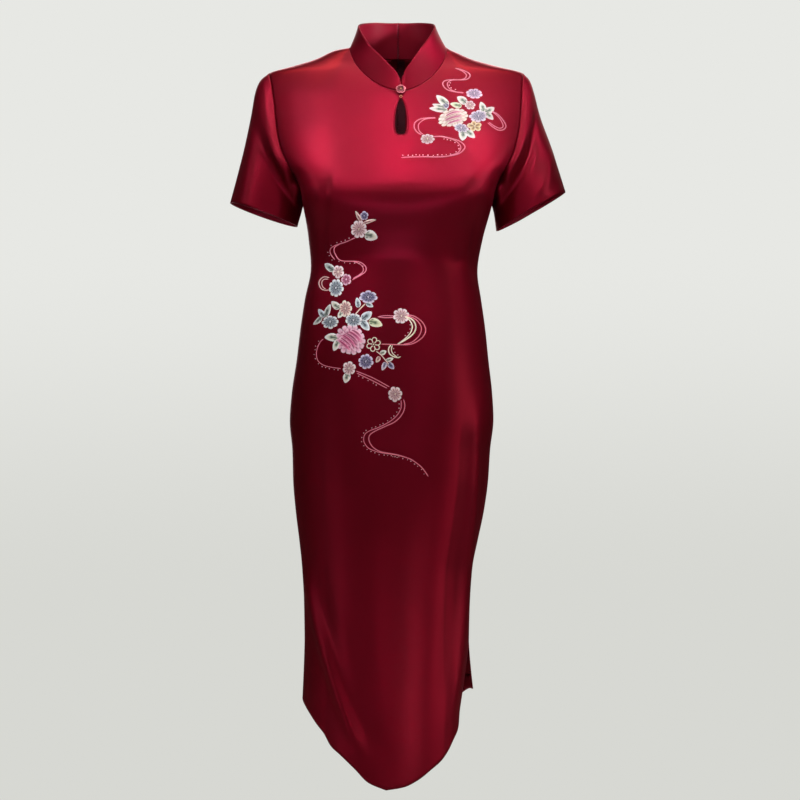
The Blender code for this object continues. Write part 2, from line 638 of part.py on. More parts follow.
def wall_object(name, skins, thickness, wraps=False, joined_from=None):
    """Close one or two grids into a wall of cloth. Two grids share their first column."""
    bm = bmesh.new()
    inward = bm.verts.layers.float_vector.new("inward")
    first_column = {}
    for skin in skins:
        rows, columns = skin.outer.shape[:2]
        net = {}
        for row in range(rows):
            for i in range(columns):
                shared = joined_from is not None and i == 0 and row >= joined_from
                if shared and row in first_column:
                    net[row, i] = first_column[row]
                    continue
                vert = bm.verts.new(skin.outer[row, i] + skin.shift[row, i])
                depth = -thickness * skin.mitre[row, i]
                vert[inward] = Vector(skin.normals[row, i] * depth)
                net[row, i] = vert
                if shared:
                    first_column[row] = vert
        spans = columns if wraps else columns - 1
        for row in range(rows - 1):
            for i in range(spans):
                j = (i + 1) % columns
                bm.faces.new((net[row, i], net[row + 1, i], net[row + 1, j], net[row, j]))
    bmesh.ops.recalc_face_normals(bm, faces=bm.faces)
    lining = bmesh.ops.extrude_face_region(bm, geom=bm.faces[:], use_keep_orig=True)
    for item in lining["geom"]:
        if isinstance(item, bmesh.types.BMVert):
            item.co += item[inward]
    return new_object(name, bm, WINE_SATIN, 0.35)


# ---------------------------------------------------------------- panels, sleeves, collar
halves = {}
for face in (FRONT, BACK):
    for side in (LEFT, RIGHT):
        flat = half_panel(face, side)
        skin = Skin(flat, body_axis(flat))
        for row in range(1, ROWS + 1):
            for i in range(COLUMNS + 1):
                seam_fade = 1.0 - ease((i / COLUMNS - 0.80) / 0.20)
                lift = fold_height(face, flat[row, i]) * seam_fade
                skin.outer[row, i] += skin.normals[row, i] * lift
        if face == BACK:
            skin.outer = np.array([[raise_nape(p) for p in line] for line in skin.outer])
        halves[face, side] = Skin(skin.outer, body_axis(skin.outer))

sleeves, collars = {}, {}
for side in (LEFT, RIGHT):
    front, back = halves[FRONT, side], halves[BACK, side]
    seam_front = front.outer[:UNDERARM_ROW + 1, -1]
    seam_back = back.outer[UNDERARM_ROW - 1:0:-1, -1]
    tube = sleeve_grid(side, np.concatenate((seam_front, seam_back)))
    rolled = Skin(tube, sleeve_inside(tube), wraps=True)
    for row, along in enumerate(SLEEVE_RING_STEPS):
        for i in range(tube.shape[1]):
            lift = sleeve_fold_height(side, 360.0 * i / tube.shape[1], along)
            rolled.outer[row, i] += rolled.normals[row, i] * lift
    sleeves[side] = Skin(rolled.outer, sleeve_inside(rolled.outer), wraps=True)

    neck_front = front.outer[0, :NECK_COLUMNS + 1]
    neck_back = back.outer[0, NECK_COLUMNS - 1::-1]
    stand = collar_grid(side, np.concatenate((neck_front, neck_back)))
    axis_point = np.array((COLLAR_TOP_X, COLLAR_TOP_Y, 0.0))
    collars[side] = Skin(stand, np.broadcast_to(axis_point, stand.shape) * (1, 1, 0)
                         + stand * (0, 0, 1))

last_slit_row = min(row for row in range(UNDERARM_ROW, ROWS + 1)
                    if halves[FRONT, LEFT].outer[row, -1, 2] < SLIT_TOP_Z)
for side in (LEFT, RIGHT):
    front, back, sleeve = halves[FRONT, side], halves[BACK, side], sleeves[side]
    collar = collars[side]
    around = sleeve.outer.shape[1]
    out = np.array((side, 0.0, 0.0))

    for i in range(NECK_COLUMNS + 1, COLUMNS):
        join_normals([(front, (0, i)), (back, (0, i))], flat_axis=1)
    for row in range(UNDERARM_ROW + 1, last_slit_row):
        join_normals([(front, (row, -1)), (back, (row, -1))], flat_axis=1)
    join_normals([(sleeve, (0, 0)), (front, (0, -1)), (back, (0, -1))], flat_axis=1)
    join_normals([(sleeve, (0, UNDERARM_ROW)), (front, (UNDERARM_ROW, -1)),
                  (back, (UNDERARM_ROW, -1))], flat_axis=1)
    for skin in (sleeve, front, back):
        skin.normals[(0, UNDERARM_ROW) if skin is sleeve else (UNDERARM_ROW, -1)] = -UP
    for row in range(1, UNDERARM_ROW):
        line = seam_line(front.outer[:UNDERARM_ROW + 1, -1], row)
        join_armhole(sleeve, row, front, row, line)
        line = seam_line(back.outer[:UNDERARM_ROW + 1, -1], row)
        join_armhole(sleeve, around - row, back, row, line)
    for i in range(NECK_COLUMNS):
        join_normals([(collar, (0, i)), (front, (0, i))])
        join_normals([(collar, (0, 2 * NECK_COLUMNS - i)), (back, (0, i))])
    join_normals([(collar, (0, NECK_COLUMNS)), (front, (0, NECK_COLUMNS)),
                  (back, (0, NECK_COLUMNS))], flat_axis=1)

    collar.mitre[0] *= CLOTH / COLLAR_CLOTH     # at its seam the stand is as thin as the body

    for skin, face in ((front, FRONT), (back, BACK)):
        for i in range(NECK_COLUMNS, COLUMNS + 1):
            skin.shift[0, i, 1] += face * SEAM_GAP / 2.0
        for row in range(UNDERARM_ROW, last_slit_row):
            skin.shift[row, -1, 1] += face * SEAM_GAP / 2.0
        for row in range(UNDERARM_ROW + 1):
            line = seam_line(skin.outer[:UNDERARM_ROW + 1, -1], row)
            draw_back(skin, (row, -1), line, -out)
        for i in range(NECK_COLUMNS + 1):
            line = seam_line(skin.outer[0, :NECK_COLUMNS + 1], i)
            draw_back(skin, (0, i), line, skin.outer[1, i] - skin.outer[0, i])
    for i in range(around):
        line = sleeve.outer[0, (i + 1) % around] - sleeve.outer[0, i - 1]
        draw_back(sleeve, (0, i), line, out)
    for i in range(2 * NECK_COLUMNS + 1):
        line = seam_line(collar.outer[0], i)
        draw_back(collar, (0, i), line, collar.outer[1, i] - collar.outer[0, i])
    collar.shift[:, 0, 0] += side * SEAM_GAP / 2.0
    collar.shift[:, -1, 0] += side * SEAM_GAP / 2.0

for row in range(KEYHOLE_BOTTOM_ROW, ROWS + 1):
    join_normals([(halves[FRONT, LEFT], (row, 0)), (halves[FRONT, RIGHT], (row, 0))])
for row in range(COLLAR_ROWS + 1):
    for end in (0, -1):
        join_normals([(collars[LEFT], (row, end)), (collars[RIGHT], (row, end))], flat_axis=0)
for row in range(ROWS + 1):
    join_normals([(halves[BACK, LEFT], (row, 0)), (halves[BACK, RIGHT], (row, 0))],
                 flat_axis=0)
    for side in (LEFT, RIGHT):
        halves[BACK, side].shift[row, 0, 0] += side * SEAM_GAP / 2.0

wall_object("front_panel", [halves[FRONT, LEFT], halves[FRONT, RIGHT]], CLOTH,
            joined_from=KEYHOLE_BOTTOM_ROW)
for side in (LEFT, RIGHT):
    name = side_name(side)
    wall_object(f"back_panel_{name}", [halves[BACK, side]], CLOTH)
    wall_object(f"sleeve_{name}", [sleeves[side]], CLOTH, wraps=True)
    wall_object(f"collar_{name}", [collars[side]], COLLAR_CLOTH)


# ---------------------------------------------------------------- button, loop and zip
def frame_at(point, out, up):
    """A matrix whose Z runs out of the cloth, whose Y runs up it, placed at a point."""
    out, up = Vector(out).normalized(), Vector(up)
    up = (up - out * up.dot(out)).normalized()
    return Matrix.Translation(point) @ Matrix((up.cross(out), up, out)).transposed().to_4x4()


def rose_button(seat):
    """A rose of moulded petals on a short shank, turned as one closed body."""
    bm = bmesh.new()
    rings = []
    for height in (SHANK_SEAT, ROSE_SEAT):
        rings.append([(SHANK_RADIUS, height)] * ROSE_SEGMENTS)
    for ring in ROSE_RINGS:
        line = []
        for k in range(ROSE_SEGMENTS):
            turn = 2.0 * math.pi * k / ROSE_SEGMENTS - math.radians(ring.turn)
            wave = abs(math.sin(ring.petals * turn / 2.0)) - 0.6
            line.append((ROSE_RADIUS * ring.radius * (1.0 + ring.scallop * wave),
                         ROSE_SEAT + ring.height))
        rings.append(line)
    nets = []
    for line in rings:
        turns = [2.0 * math.pi * k / ROSE_SEGMENTS for k in range(ROSE_SEGMENTS)]
        nets.append([bm.verts.new((r * math.cos(t), r * math.sin(t), h))
                     for (r, h), t in zip(line, turns)])
    for low, high in zip(nets, nets[1:]):
        for k in range(ROSE_SEGMENTS):
            j = (k + 1) % ROSE_SEGMENTS
            bm.faces.new((low[k], low[j], high[j], high[k]))
    bm.faces.new(nets[0])
    bm.faces.new(nets[-1])
    obj = new_object("rose_button", bm, ROSE_PINK, 0.4)
    obj.matrix_world = seat
    return obj


def button_loop(seat):
    """A small metal ring that closes the top of the keyhole under the rose."""
    bm = bmesh.new()
    wire = bmesh.ops.create_circle(bm, segments=8, radius=LOOP_WIRE)["verts"]
    bmesh.ops.rotate(bm, verts=wire, matrix=Matrix.Rotation(math.pi / 2.0, 3, "X"))
    bmesh.ops.translate(bm, verts=wire, vec=(LOOP_RADIUS, 0.0, 0.0))
    bmesh.ops.spin(bm, geom=bm.edges[:] + bm.verts[:], cent=(0, 0, 0), axis=(0, 0, 1),
                   angle=2.0 * math.pi, steps=20, use_merge=True)
    obj = new_object("button_loop", bm, GOLD, 0.3, 1.0)
    obj.matrix_world = seat
    return obj


def zip_slider(seat):
    """The slider's body with its bail, an arch along the zip, joined into one piece."""
    bm = bmesh.new()
    bmesh.ops.create_cube(bm, size=1.0)
    bmesh.ops.scale(bm, vec=(SLIDER_WIDTH, SLIDER_LENGTH, SLIDER_THICKNESS), verts=bm.verts)
    bmesh.ops.translate(bm, vec=(0.0, 0.0, SEAM_GAP + SLIDER_THICKNESS / 2.0), verts=bm.verts)
    upright = [e for e in bm.edges if abs(e.verts[0].co.z - e.verts[1].co.z) > 0.001]
    bmesh.ops.bevel(bm, geom=upright, offset=0.0012, affect="EDGES", segments=3,
                    profile=0.5, material=-1)
    body = new_object("zip_slider", bm, ZIP_METAL, 0.35, 0.6)
    body.matrix_world = seat

    bm = bmesh.new()
    face = SEAM_GAP + SLIDER_THICKNESS
    ends = []
    for shrink in (0.0, BAIL_METAL):
        half, high = BAIL_HALF_LENGTH - shrink, BAIL_HEIGHT - shrink
        chamfer = BAIL_METAL
        ends.append(((-half, -BAIL_SUNK), (-half, high - chamfer), (-half + chamfer, high),
                     (half - chamfer, high), (half, high - chamfer), (half, -BAIL_SUNK)))
    strip = [[[bm.verts.new((x, along, face + high)) for x in (-BAIL_HALF_WIDTH, BAIL_HALF_WIDTH)]
              for along, high in line] for line in ends]
    outer, inner = strip
    for k in range(len(outer) - 1):
        bm.faces.new((outer[k][0], outer[k][1], outer[k + 1][1], outer[k + 1][0]))
        bm.faces.new((inner[k][0], inner[k + 1][0], inner[k + 1][1], inner[k][1]))
        for edge in (0, 1):
            bm.faces.new((outer[k][edge], outer[k + 1][edge], inner[k + 1][edge],
                          inner[k][edge]))
    for k in (0, -1):
        bm.faces.new((outer[k][0], outer[k][1], inner[k][1], inner[k][0]))
    bail = new_object("bail_guide", bm, ZIP_METAL, 0.35, 0.6)
    bail.matrix_world = seat
    bail.hide_render = True
    bail.display_type = "WIRE"
    join = body.modifiers.new("bail", "BOOLEAN")
    join.operation = "UNION"
    join.solver = "EXACT"
    join.object = bail
    return body


def zip_pull(pivot):
    """A flat drop-shaped tab; its window's upper bar lies in the bail, on the hinge."""
    bm = bmesh.new()
    bar = PULL_METAL / 2.0
    outline = [(PULL_NECK_HALF_WIDTH * 0.7, bar), (PULL_NECK_HALF_WIDTH, 0.0),
               (PULL_NECK_HALF_WIDTH, -PULL_WINDOW_LENGTH / 2.0)]
    round_middle = bar - PULL_LENGTH + PULL_HALF_WIDTH
    outline.append((PULL_NECK_HALF_WIDTH, -PULL_WINDOW_LENGTH - bar))
    outline += [(PULL_HALF_WIDTH * math.cos(t), round_middle - PULL_HALF_WIDTH * math.sin(t))
                for t in np.linspace(0.0, math.pi / 2.0, 6)]
    mirrored = [(-x, y) for x, y in reversed(outline[:-1])]
    window = [(PULL_WINDOW_HALF_WIDTH, -bar), (PULL_WINDOW_HALF_WIDTH, -PULL_WINDOW_LENGTH)]
    window += [(-x, y) for x, y in reversed(window)]
    edges = []
    for line in (outline + mirrored, window):
        verts = [bm.verts.new((x, y, -bar)) for x, y in line]
        edges += [bm.edges.new((a, b)) for a, b in zip(verts, verts[1:] + verts[:1])]
    bmesh.ops.triangle_fill(bm, edges=edges, use_beauty=True, use_dissolve=False)
    thick = bmesh.ops.extrude_face_region(bm, geom=bm.faces[:], use_keep_orig=True)
    lifted = [v for v in thick["geom"] if isinstance(v, bmesh.types.BMVert)]
    bmesh.ops.translate(bm, verts=lifted, vec=(0.0, 0.0, PULL_METAL))
    obj = new_object("zip_pull", bm, ZIP_METAL, 0.3, 0.6)
    obj.matrix_world = pivot
    return obj


neck_front = halves[FRONT, LEFT]
rose_out = neck_front.normals[0, 0] * (0.0, 1.0, 1.0)
rose_point = neck_front.outer[0, 0] * (0.0, 1.0, 1.0) + np.array((NECK_FRONT_X, 0.0, 0.0))
rose_button(frame_at(rose_point, rose_out, (0.0, 0.0, 1.0)))

loop_low = body_point(FRONT, NECK_FRONT_X, KEYHOLE_TOP_Z)
loop_high = body_point(FRONT, NECK_FRONT_X, rose_point[2])
loop_out = np.cross((1.0, 0.0, 0.0), loop_high - loop_low)
loop_out /= np.linalg.norm(loop_out)
loop_point = body_point(FRONT, NECK_FRONT_X, LOOP_Z) + loop_out * (LOOP_WIRE + SEAM_GAP)
button_loop(frame_at(loop_point, loop_out, (0.0, 0.0, 1.0)))

stand = collars[RIGHT].outer[::-1, -1]
down_stand = np.concatenate(([0.0], np.cumsum(np.linalg.norm(np.diff(stand, axis=0), axis=1))))
slider_ends = [np.array([np.interp(SLIDER_DROP + step, down_stand, stand[:, k])
                         for k in range(3)])
               for step in (-SLIDER_LENGTH / 2.0, SLIDER_LENGTH / 2.0)]
stand_up = slider_ends[0] - slider_ends[1]
stand_out = np.cross(stand_up, (1.0, 0.0, 0.0))
stand_out *= np.sign(stand_out[1])
slider_seat = frame_at(sum(slider_ends) / 2.0, stand_out, stand_up)
zip_slider(slider_seat)
hinge = Vector((0.0, -PIVOT_DROP, SEAM_GAP + SLIDER_THICKNESS + PIVOT_HEIGHT))
zip_pull(slider_seat @ Matrix.Translation(hinge))
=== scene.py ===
"""A cheongsam in wine-red satin, in its hollow worn shape: panels, sleeves and stand collar as
thin shells of cloth, a rose button over a keyhole, a concealed zip and hand embroidery.
"""
import math
import random
from collections import namedtuple

import bmesh
import bpy
import numpy as np
from mathutils import Matrix, Vector
from mathutils.bvhtree import BVHTree
from mathutils.kdtree import KDTree


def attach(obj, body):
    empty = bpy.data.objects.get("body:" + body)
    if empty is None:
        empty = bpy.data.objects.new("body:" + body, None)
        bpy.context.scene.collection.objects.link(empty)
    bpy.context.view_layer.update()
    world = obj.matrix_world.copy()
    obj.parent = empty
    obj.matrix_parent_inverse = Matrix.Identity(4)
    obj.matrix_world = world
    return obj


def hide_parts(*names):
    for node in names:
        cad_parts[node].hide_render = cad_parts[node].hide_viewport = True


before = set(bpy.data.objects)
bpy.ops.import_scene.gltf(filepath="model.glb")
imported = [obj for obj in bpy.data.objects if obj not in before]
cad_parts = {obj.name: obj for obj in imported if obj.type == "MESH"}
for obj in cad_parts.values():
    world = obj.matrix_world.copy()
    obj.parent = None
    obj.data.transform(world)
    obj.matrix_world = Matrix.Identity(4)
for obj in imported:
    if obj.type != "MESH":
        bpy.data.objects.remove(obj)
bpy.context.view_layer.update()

# ---------------------------------------------------------------- front and back panels
# Three panels of backed satin are shaped by darts and pegged towards an arched hem. They are
# sewn at the shoulders and the sides, the back halves to each other over the zip, and the side
# seams stop at two slits. The widths and depths are those of the worn dress at each height.
FRONT, BACK = -1.0, 1.0
LEFT, RIGHT = -1.0, 1.0
Section = namedtuple("Section", "z half_width front back centre_x front_square back_square")
SECTIONS = (
    Section(0.0185, 0.0730, 0.014, 0.018, 0.0030, 2.00, 1.90),
    Section(0.0140, 0.0880, 0.022, 0.032, -0.0045, 2.00, 1.90),
    Section(0.0000, 0.1190, 0.034, 0.056, -0.0035, 2.00, 1.80),
    Section(-0.0120, 0.1600, 0.041, 0.066, -0.0020, 2.00, 1.75),
    Section(-0.0205, 0.1905, 0.047, 0.073, 0.0000, 2.05, 1.75),
    Section(-0.0350, 0.2030, 0.057, 0.082, 0.0010, 2.10, 1.80),
    Section(-0.0580, 0.2065, 0.0710, 0.0910, 0.0020, 2.25, 1.90),
    Section(-0.0900, 0.2040, 0.0855, 0.0980, 0.0030, 2.60, 2.00),
    Section(-0.1200, 0.1960, 0.0983, 0.1020, 0.0030, 3.10, 2.15),
    Section(-0.1500, 0.1810, 0.1104, 0.1040, 0.0030, 3.70, 2.30),
    Section(-0.1700, 0.1660, 0.1180, 0.1040, 0.0030, 4.20, 2.35),
    Section(-0.1850, 0.1515, 0.1234, 0.1030, 0.0030, 4.60, 2.35),
    Section(-0.1950, 0.1460, 0.1265, 0.1020, 0.0030, 4.80, 2.35),
    Section(-0.2050, 0.1425, 0.1289, 0.1005, 0.0028, 4.80, 2.35),
    Section(-0.2175, 0.1405, 0.1304, 0.0990, 0.0025, 4.50, 2.30),
    Section(-0.2290, 0.1385, 0.1293, 0.0975, 0.0020, 4.00, 2.30),
    Section(-0.2400, 0.1360, 0.1262, 0.0960, 0.0015, 3.50, 2.30),
    Section(-0.2700, 0.1300, 0.1136, 0.0910, -0.0005, 2.75, 2.25),
    Section(-0.3150, 0.1248, 0.1014, 0.085, -0.0027, 2.30, 2.20),
    Section(-0.3600, 0.1320, 0.1035, 0.092, -0.0045, 2.30, 2.20),
    Section(-0.4050, 0.1385, 0.1080, 0.104, -0.0047, 2.30, 2.20),
    Section(-0.4500, 0.1435, 0.1115, 0.115, -0.0051, 2.30, 2.20),
    Section(-0.5000, 0.1500, 0.1125, 0.122, -0.0060, 2.30, 2.20),
    Section(-0.5400, 0.1525, 0.1115, 0.125, -0.0065, 2.30, 2.20),
    Section(-0.5850, 0.1480, 0.1085, 0.124, -0.0071, 2.30, 2.20),
    Section(-0.6300, 0.1460, 0.1055, 0.121, -0.0080, 2.30, 2.20),
    Section(-0.6750, 0.1410, 0.1025, 0.117, -0.0092, 2.30, 2.20),
    Section(-0.7200, 0.1335, 0.1000, 0.113, -0.0112, 2.30, 2.20),
    Section(-0.7650, 0.1265, 0.0985, 0.110, -0.0135, 2.30, 2.20),
    Section(-0.8100, 0.1240, 0.0985, 0.109, -0.0137, 2.30, 2.20),
    Section(-0.8800, 0.1230, 0.1000, 0.110, -0.0138, 2.30, 2.20),
    Section(-0.9500, 0.1230, 0.1020, 0.112, -0.0139, 2.30, 2.20),
    Section(-1.0800, 0.1230, 0.1040, 0.114, -0.0142, 2.30, 2.20),
)
SHOULDER_TIP_Z = -0.0205
UNDERARM_Z = -0.2175
Armhole = namedtuple("Armhole", "z front_x back_x")
ARMHOLE = (
    Armhole(SHOULDER_TIP_Z, 0.1905, 0.1905),
    Armhole(-0.0400, 0.1865, 0.1885),
    Armhole(-0.0700, 0.1825, 0.1860),
    Armhole(-0.1050, 0.1785, 0.1810),
    Armhole(-0.1400, 0.1715, 0.1735),
    Armhole(-0.1650, 0.1610, 0.1615),
    Armhole(-0.1850, 0.1500, 0.1490),
    Armhole(-0.2000, 0.1435, 0.1425),
    Armhole(UNDERARM_Z, 0.1405, 0.1405),
)
NECK_SIDE_Z, NECK_HALF_WIDTH, NECK_POINT = 0.0185, 0.0730, 1.75
NECK_SIDE_X, NECK_FRONT_X = 0.0030, 0.0072
NECK_FRONT_DROP, NECK_BACK_DROP = 0.0775, 0.0225
NAPE_RISE, NAPE_DEPTH, NAPE_REACH = 0.020, 0.066, 0.150
KEYHOLE_TOP_Z, KEYHOLE_BOTTOM_Z = -0.0705, -0.1285
KEYHOLE_HALF_WIDTH, KEYHOLE_TAPER, KEYHOLE_ROUND = 0.0094, 0.60, 0.28
KEYHOLE_TOP_SHARE, KEYHOLE_BOTTOM_SHARE = 1 / 13, 7 / 13
HEM_CORNER_Z, HEM_FRONT_Z, HEM_BACK_Z = -0.953, -1.0715, -1.0650
HemRise = namedtuple("HemRise", "share front_left front_right back")
HEM_RISE = (
    HemRise(0.00, 0.000, 0.000, 0.000),
    HemRise(0.14, 0.090, 0.035, 0.100),
    HemRise(0.25, 0.250, 0.110, 0.250),
    HemRise(0.37, 0.405, 0.235, 0.430),
    HemRise(0.46, 0.505, 0.330, 0.580),
    HemRise(0.53, 0.645, 0.440, 0.690),
    HemRise(0.60, 0.730, 0.560, 0.790),
    HemRise(0.73, 0.875, 0.705, 0.930),
    HemRise(0.84, 0.950, 0.920, 0.980),
    HemRise(1.00, 1.000, 1.000, 1.000),
)
SLIT_TOP_Z, SLIT_REACH, SLIT_PULL_END, SLIT_PULL_CURVE = -0.868, 0.50, 1.2, 1.3
SlitEdge = namedtuple("SlitEdge", "face side out away up")
SLIT_EDGES = (
    SlitEdge(FRONT, LEFT, 0.0030, 0.0030, 0.0000),
    SlitEdge(FRONT, RIGHT, -0.0130, 0.0120, 0.0000),
    SlitEdge(BACK, LEFT, 0.0010, 0.0090, 0.0020),
    SlitEdge(BACK, RIGHT, 0.0070, 0.0080, 0.0085),
)
# Each crease runs from its top through its middle to its low end. A positive height is a
# ridge, a negative one a trough.
Crease = namedtuple("Crease", "face top_x top_z mid_x mid_z low_x low_z height width")
CREASES = (
    Crease(FRONT, -0.137, -0.735, -0.108, -0.898, -0.046, -1.025, 0.0056, 0.0082),
    Crease(FRONT, -0.118, -0.770, -0.080, -0.930, -0.020, -1.030, -0.0018, 0.0150),
    Crease(FRONT, 0.119, -0.480, 0.111, -0.790, 0.078, -1.000, 0.0055, 0.0085),
    Crease(FRONT, 0.098, -0.620, 0.090, -0.800, 0.056, -0.990, -0.0011, 0.0150),
    Crease(FRONT, -0.0910, -0.180, -0.0925, -0.240, -0.1040, -0.310, 0.0013, 0.0036),
    Crease(FRONT, 0.1180, -0.200, 0.1120, -0.245, 0.1050, -0.300, 0.0013, 0.0036),
    Crease(FRONT, -0.066, -0.800, -0.046, -0.940, -0.018, -1.050, -0.0020, 0.0200),
    Crease(FRONT, -0.098, -0.178, -0.101, -0.260, -0.110, -0.350, -0.0022, 0.0075),
    Crease(FRONT, 0.116, -0.190, 0.109, -0.255, 0.116, -0.350, -0.0022, 0.0075),
    Crease(BACK, -0.085, -0.600, -0.066, -0.800, -0.062, -1.020, 0.0045, 0.0180),
    Crease(BACK, 0.070, -0.650, 0.086, -0.820, 0.088, -1.000, 0.0040, 0.0160),
    Crease(BACK, -0.080, -0.285, 0.000, -0.330, 0.062, -0.330, -0.0025, 0.0130),
    Crease(BACK, -0.045, -0.352, 0.020, -0.362, 0.090, -0.322, 0.0022, 0.0120),
)
CREASE_SAMPLES, CREASE_FADE = 48, 0.20
SEAM_FADE_SHARE, TOP_FADE_ROWS = 0.20, 5
ACROSS_STEPS, CHEST_STEPS, SKIRT_STEPS = 60, 65, 150
SECTION_STEPS, EDGE_STEPS = 90, 200
CORE_TOP_Z = -0.10
CLOTH = 0.0011


def read(table, field, at):
    """Read a column on a smooth curve through the table's rows that never overshoots."""
    key = table[0]._fields[0]
    rows = sorted(table, key=lambda row: getattr(row, key))
    xs = np.array([getattr(row, key) for row in rows])
    ys = np.array([getattr(row, field) for row in rows])
    at = np.clip(at, xs[0], xs[-1])
    steps, rises = np.diff(xs), np.diff(ys) / np.diff(xs)
    product, total = rises[:-1] * rises[1:], rises[:-1] + rises[1:]
    inner = np.where(product > 0.0, 2.0 * product / np.where(total == 0.0, 1.0, total), 0.0)
    slopes = np.concatenate((rises[:1], inner, rises[-1:]))
    k = np.clip(np.searchsorted(xs, at, side="right") - 1, 0, len(steps) - 1)
    t, step = (at - xs[k]) / steps[k], steps[k]
    return ((1 + 2 * t) * (1 - t) ** 2 * ys[k] + t * (1 - t) ** 2 * step * slopes[k]
            + t * t * (3 - 2 * t) * ys[k + 1] - t * t * (1 - t) * step * slopes[k + 1])


def ease(t):
    """A smooth step from 0 to 1."""
    t = np.clip(t, 0.0, 1.0)
    return t * t * (3.0 - 2.0 * t)


def side_name(side):
    return "left" if side == LEFT else "right"


def section_at(face, z):
    """The middle, half width, depth and squareness of the body at heights z."""
    depth, square = ("front", "front_square") if face == FRONT else ("back", "back_square")
    return [read(SECTIONS, field, z) for field in ("centre_x", "half_width", depth, square)]


def on_body(face, x, z):
    """Points of the cloth's outer face at widths x and heights z."""
    centre, half, depth, square = section_at(face, z)
    share = np.minimum(np.abs(x - centre) / half, 1.0)
    y = face * depth * (1.0 - share ** square) ** (1.0 / square)
    return np.stack((x, y, z * np.ones_like(x)), axis=-1)


def along_section(face, side, z, share):
    """Points at heights z that lie these shares of the arc from the middle to the side."""
    centre, half, depth, square = section_at(face, z)
    turn = np.linspace(0.0, math.pi / 2.0, SECTION_STEPS)
    power = 2.0 / square[..., None]
    wide = half[..., None] * np.sin(turn) ** power
    deep = depth[..., None] * np.maximum(np.cos(turn), 0.0) ** power
    deep[..., -1] = 0.0
    steps = np.hypot(np.diff(wide, axis=-1), np.diff(deep, axis=-1))
    reach = np.concatenate((np.zeros_like(wide[..., :1]), np.cumsum(steps, axis=-1)), axis=-1)
    at = share * reach[..., -1]
    k = np.clip((reach <= at[..., None]).sum(axis=-1) - 1, 0, reach.shape[-1] - 2)[..., None]

    def pick(values, index):
        return np.take_along_axis(values, index, axis=-1)[..., 0]

    t = (at - pick(reach, k)) / (pick(reach, k + 1) - pick(reach, k))
    x = pick(wide, k) * (1.0 - t) + pick(wide, k + 1) * t
    y = pick(deep, k) * (1.0 - t) + pick(deep, k + 1) * t
    return np.stack((centre + side * x, face * y, z), axis=-1)


def reach_along(path):
    """How far along a path each of its points lies."""
    steps = np.linalg.norm(np.diff(path, axis=0), axis=1)
    return np.concatenate(([0.0], np.cumsum(steps)))


def evenly(path, shares):
    """Points of a dense path at shares of its length."""
    reach = reach_along(path)
    return np.stack([np.interp(shares * reach[-1], reach, column) for column in path.T], -1)


def top_edge(face, side, across):
    """Neck seam for the first half of the shares, shoulder seam for the second."""
    turn = np.linspace(0.0, 1.0, EDGE_STEPS)
    drop = NECK_FRONT_DROP if face == FRONT else NECK_BACK_DROP
    middle = NECK_FRONT_X if face == FRONT else NECK_SIDE_X
    wide = np.sin(turn * math.pi / 2.0) ** (2.0 / NECK_POINT)
    low = np.maximum(np.cos(turn * math.pi / 2.0), 0.0) ** (2.0 / NECK_POINT)
    centre = middle + (NECK_SIDE_X - middle) * turn
    neck = np.stack((centre + side * NECK_HALF_WIDTH * wide, NECK_SIDE_Z - drop * low), -1)
    z = NECK_SIDE_Z + (SHOULDER_TIP_Z - NECK_SIDE_Z) * turn
    middle, half = section_at(FRONT, z)[:2]
    shoulder = np.stack((middle + side * half, z), -1)
    neck, shoulder = evenly(neck, across * 2.0), evenly(shoulder, across * 2.0 - 1.0)
    return np.where((across <= 0.5)[:, None], neck, shoulder)


def armhole_edge(face, side, down):
    """The armhole's seam from the shoulder's tip to the underarm."""
    z = np.linspace(SHOULDER_TIP_Z, UNDERARM_Z, EDGE_STEPS)
    field = "front_x" if face == FRONT else "back_x"
    path = on_body(face, section_at(face, z)[0] + side * read(ARMHOLE, field, z), z)
    return evenly(path, down)[:, (0, 2)]


def keyhole_half_width(share):
    """The keyhole's drop shape: slim at its top, round at its foot."""
    peak = KEYHOLE_TAPER / (KEYHOLE_TAPER + KEYHOLE_ROUND)
    full = peak ** KEYHOLE_TAPER * (1.0 - peak) ** KEYHOLE_ROUND
    return KEYHOLE_HALF_WIDTH * share ** KEYHOLE_TAPER * (1.0 - share) ** KEYHOLE_ROUND / full


def centre_edge(face, side, down):
    """The centre front with the keyhole's edge, or the centre back, to the underarm's height."""
    neck_x, neck_z = top_edge(face, side, np.zeros(1))[0]
    low_x = float(section_at(face, UNDERARM_Z)[0])
    if face == BACK:
        return np.stack((neck_x + (low_x - neck_x) * down,
                         neck_z + (UNDERARM_Z - neck_z) * down), -1)
    step = (down - KEYHOLE_TOP_SHARE) / (KEYHOLE_BOTTOM_SHARE - KEYHOLE_TOP_SHARE)
    share = (1.0 - np.cos(math.pi * np.clip(step, 0.0, 1.0))) / 2.0
    z = np.where(
        step <= 0.0, neck_z + (KEYHOLE_TOP_Z - neck_z) * down / KEYHOLE_TOP_SHARE,
        KEYHOLE_TOP_Z + (KEYHOLE_BOTTOM_Z - KEYHOLE_TOP_Z) * share)
    below = (down - KEYHOLE_BOTTOM_SHARE) / (1.0 - KEYHOLE_BOTTOM_SHARE)
    z = np.where(below > 0.0, KEYHOLE_BOTTOM_Z + (UNDERARM_Z - KEYHOLE_BOTTOM_Z) * below, z)
    fade = ease((KEYHOLE_BOTTOM_Z - z) / (KEYHOLE_BOTTOM_Z - UNDERARM_Z))
    x = neck_x + (low_x - neck_x) * fade + side * keyhole_half_width(share)
    return np.stack((x, z), -1)


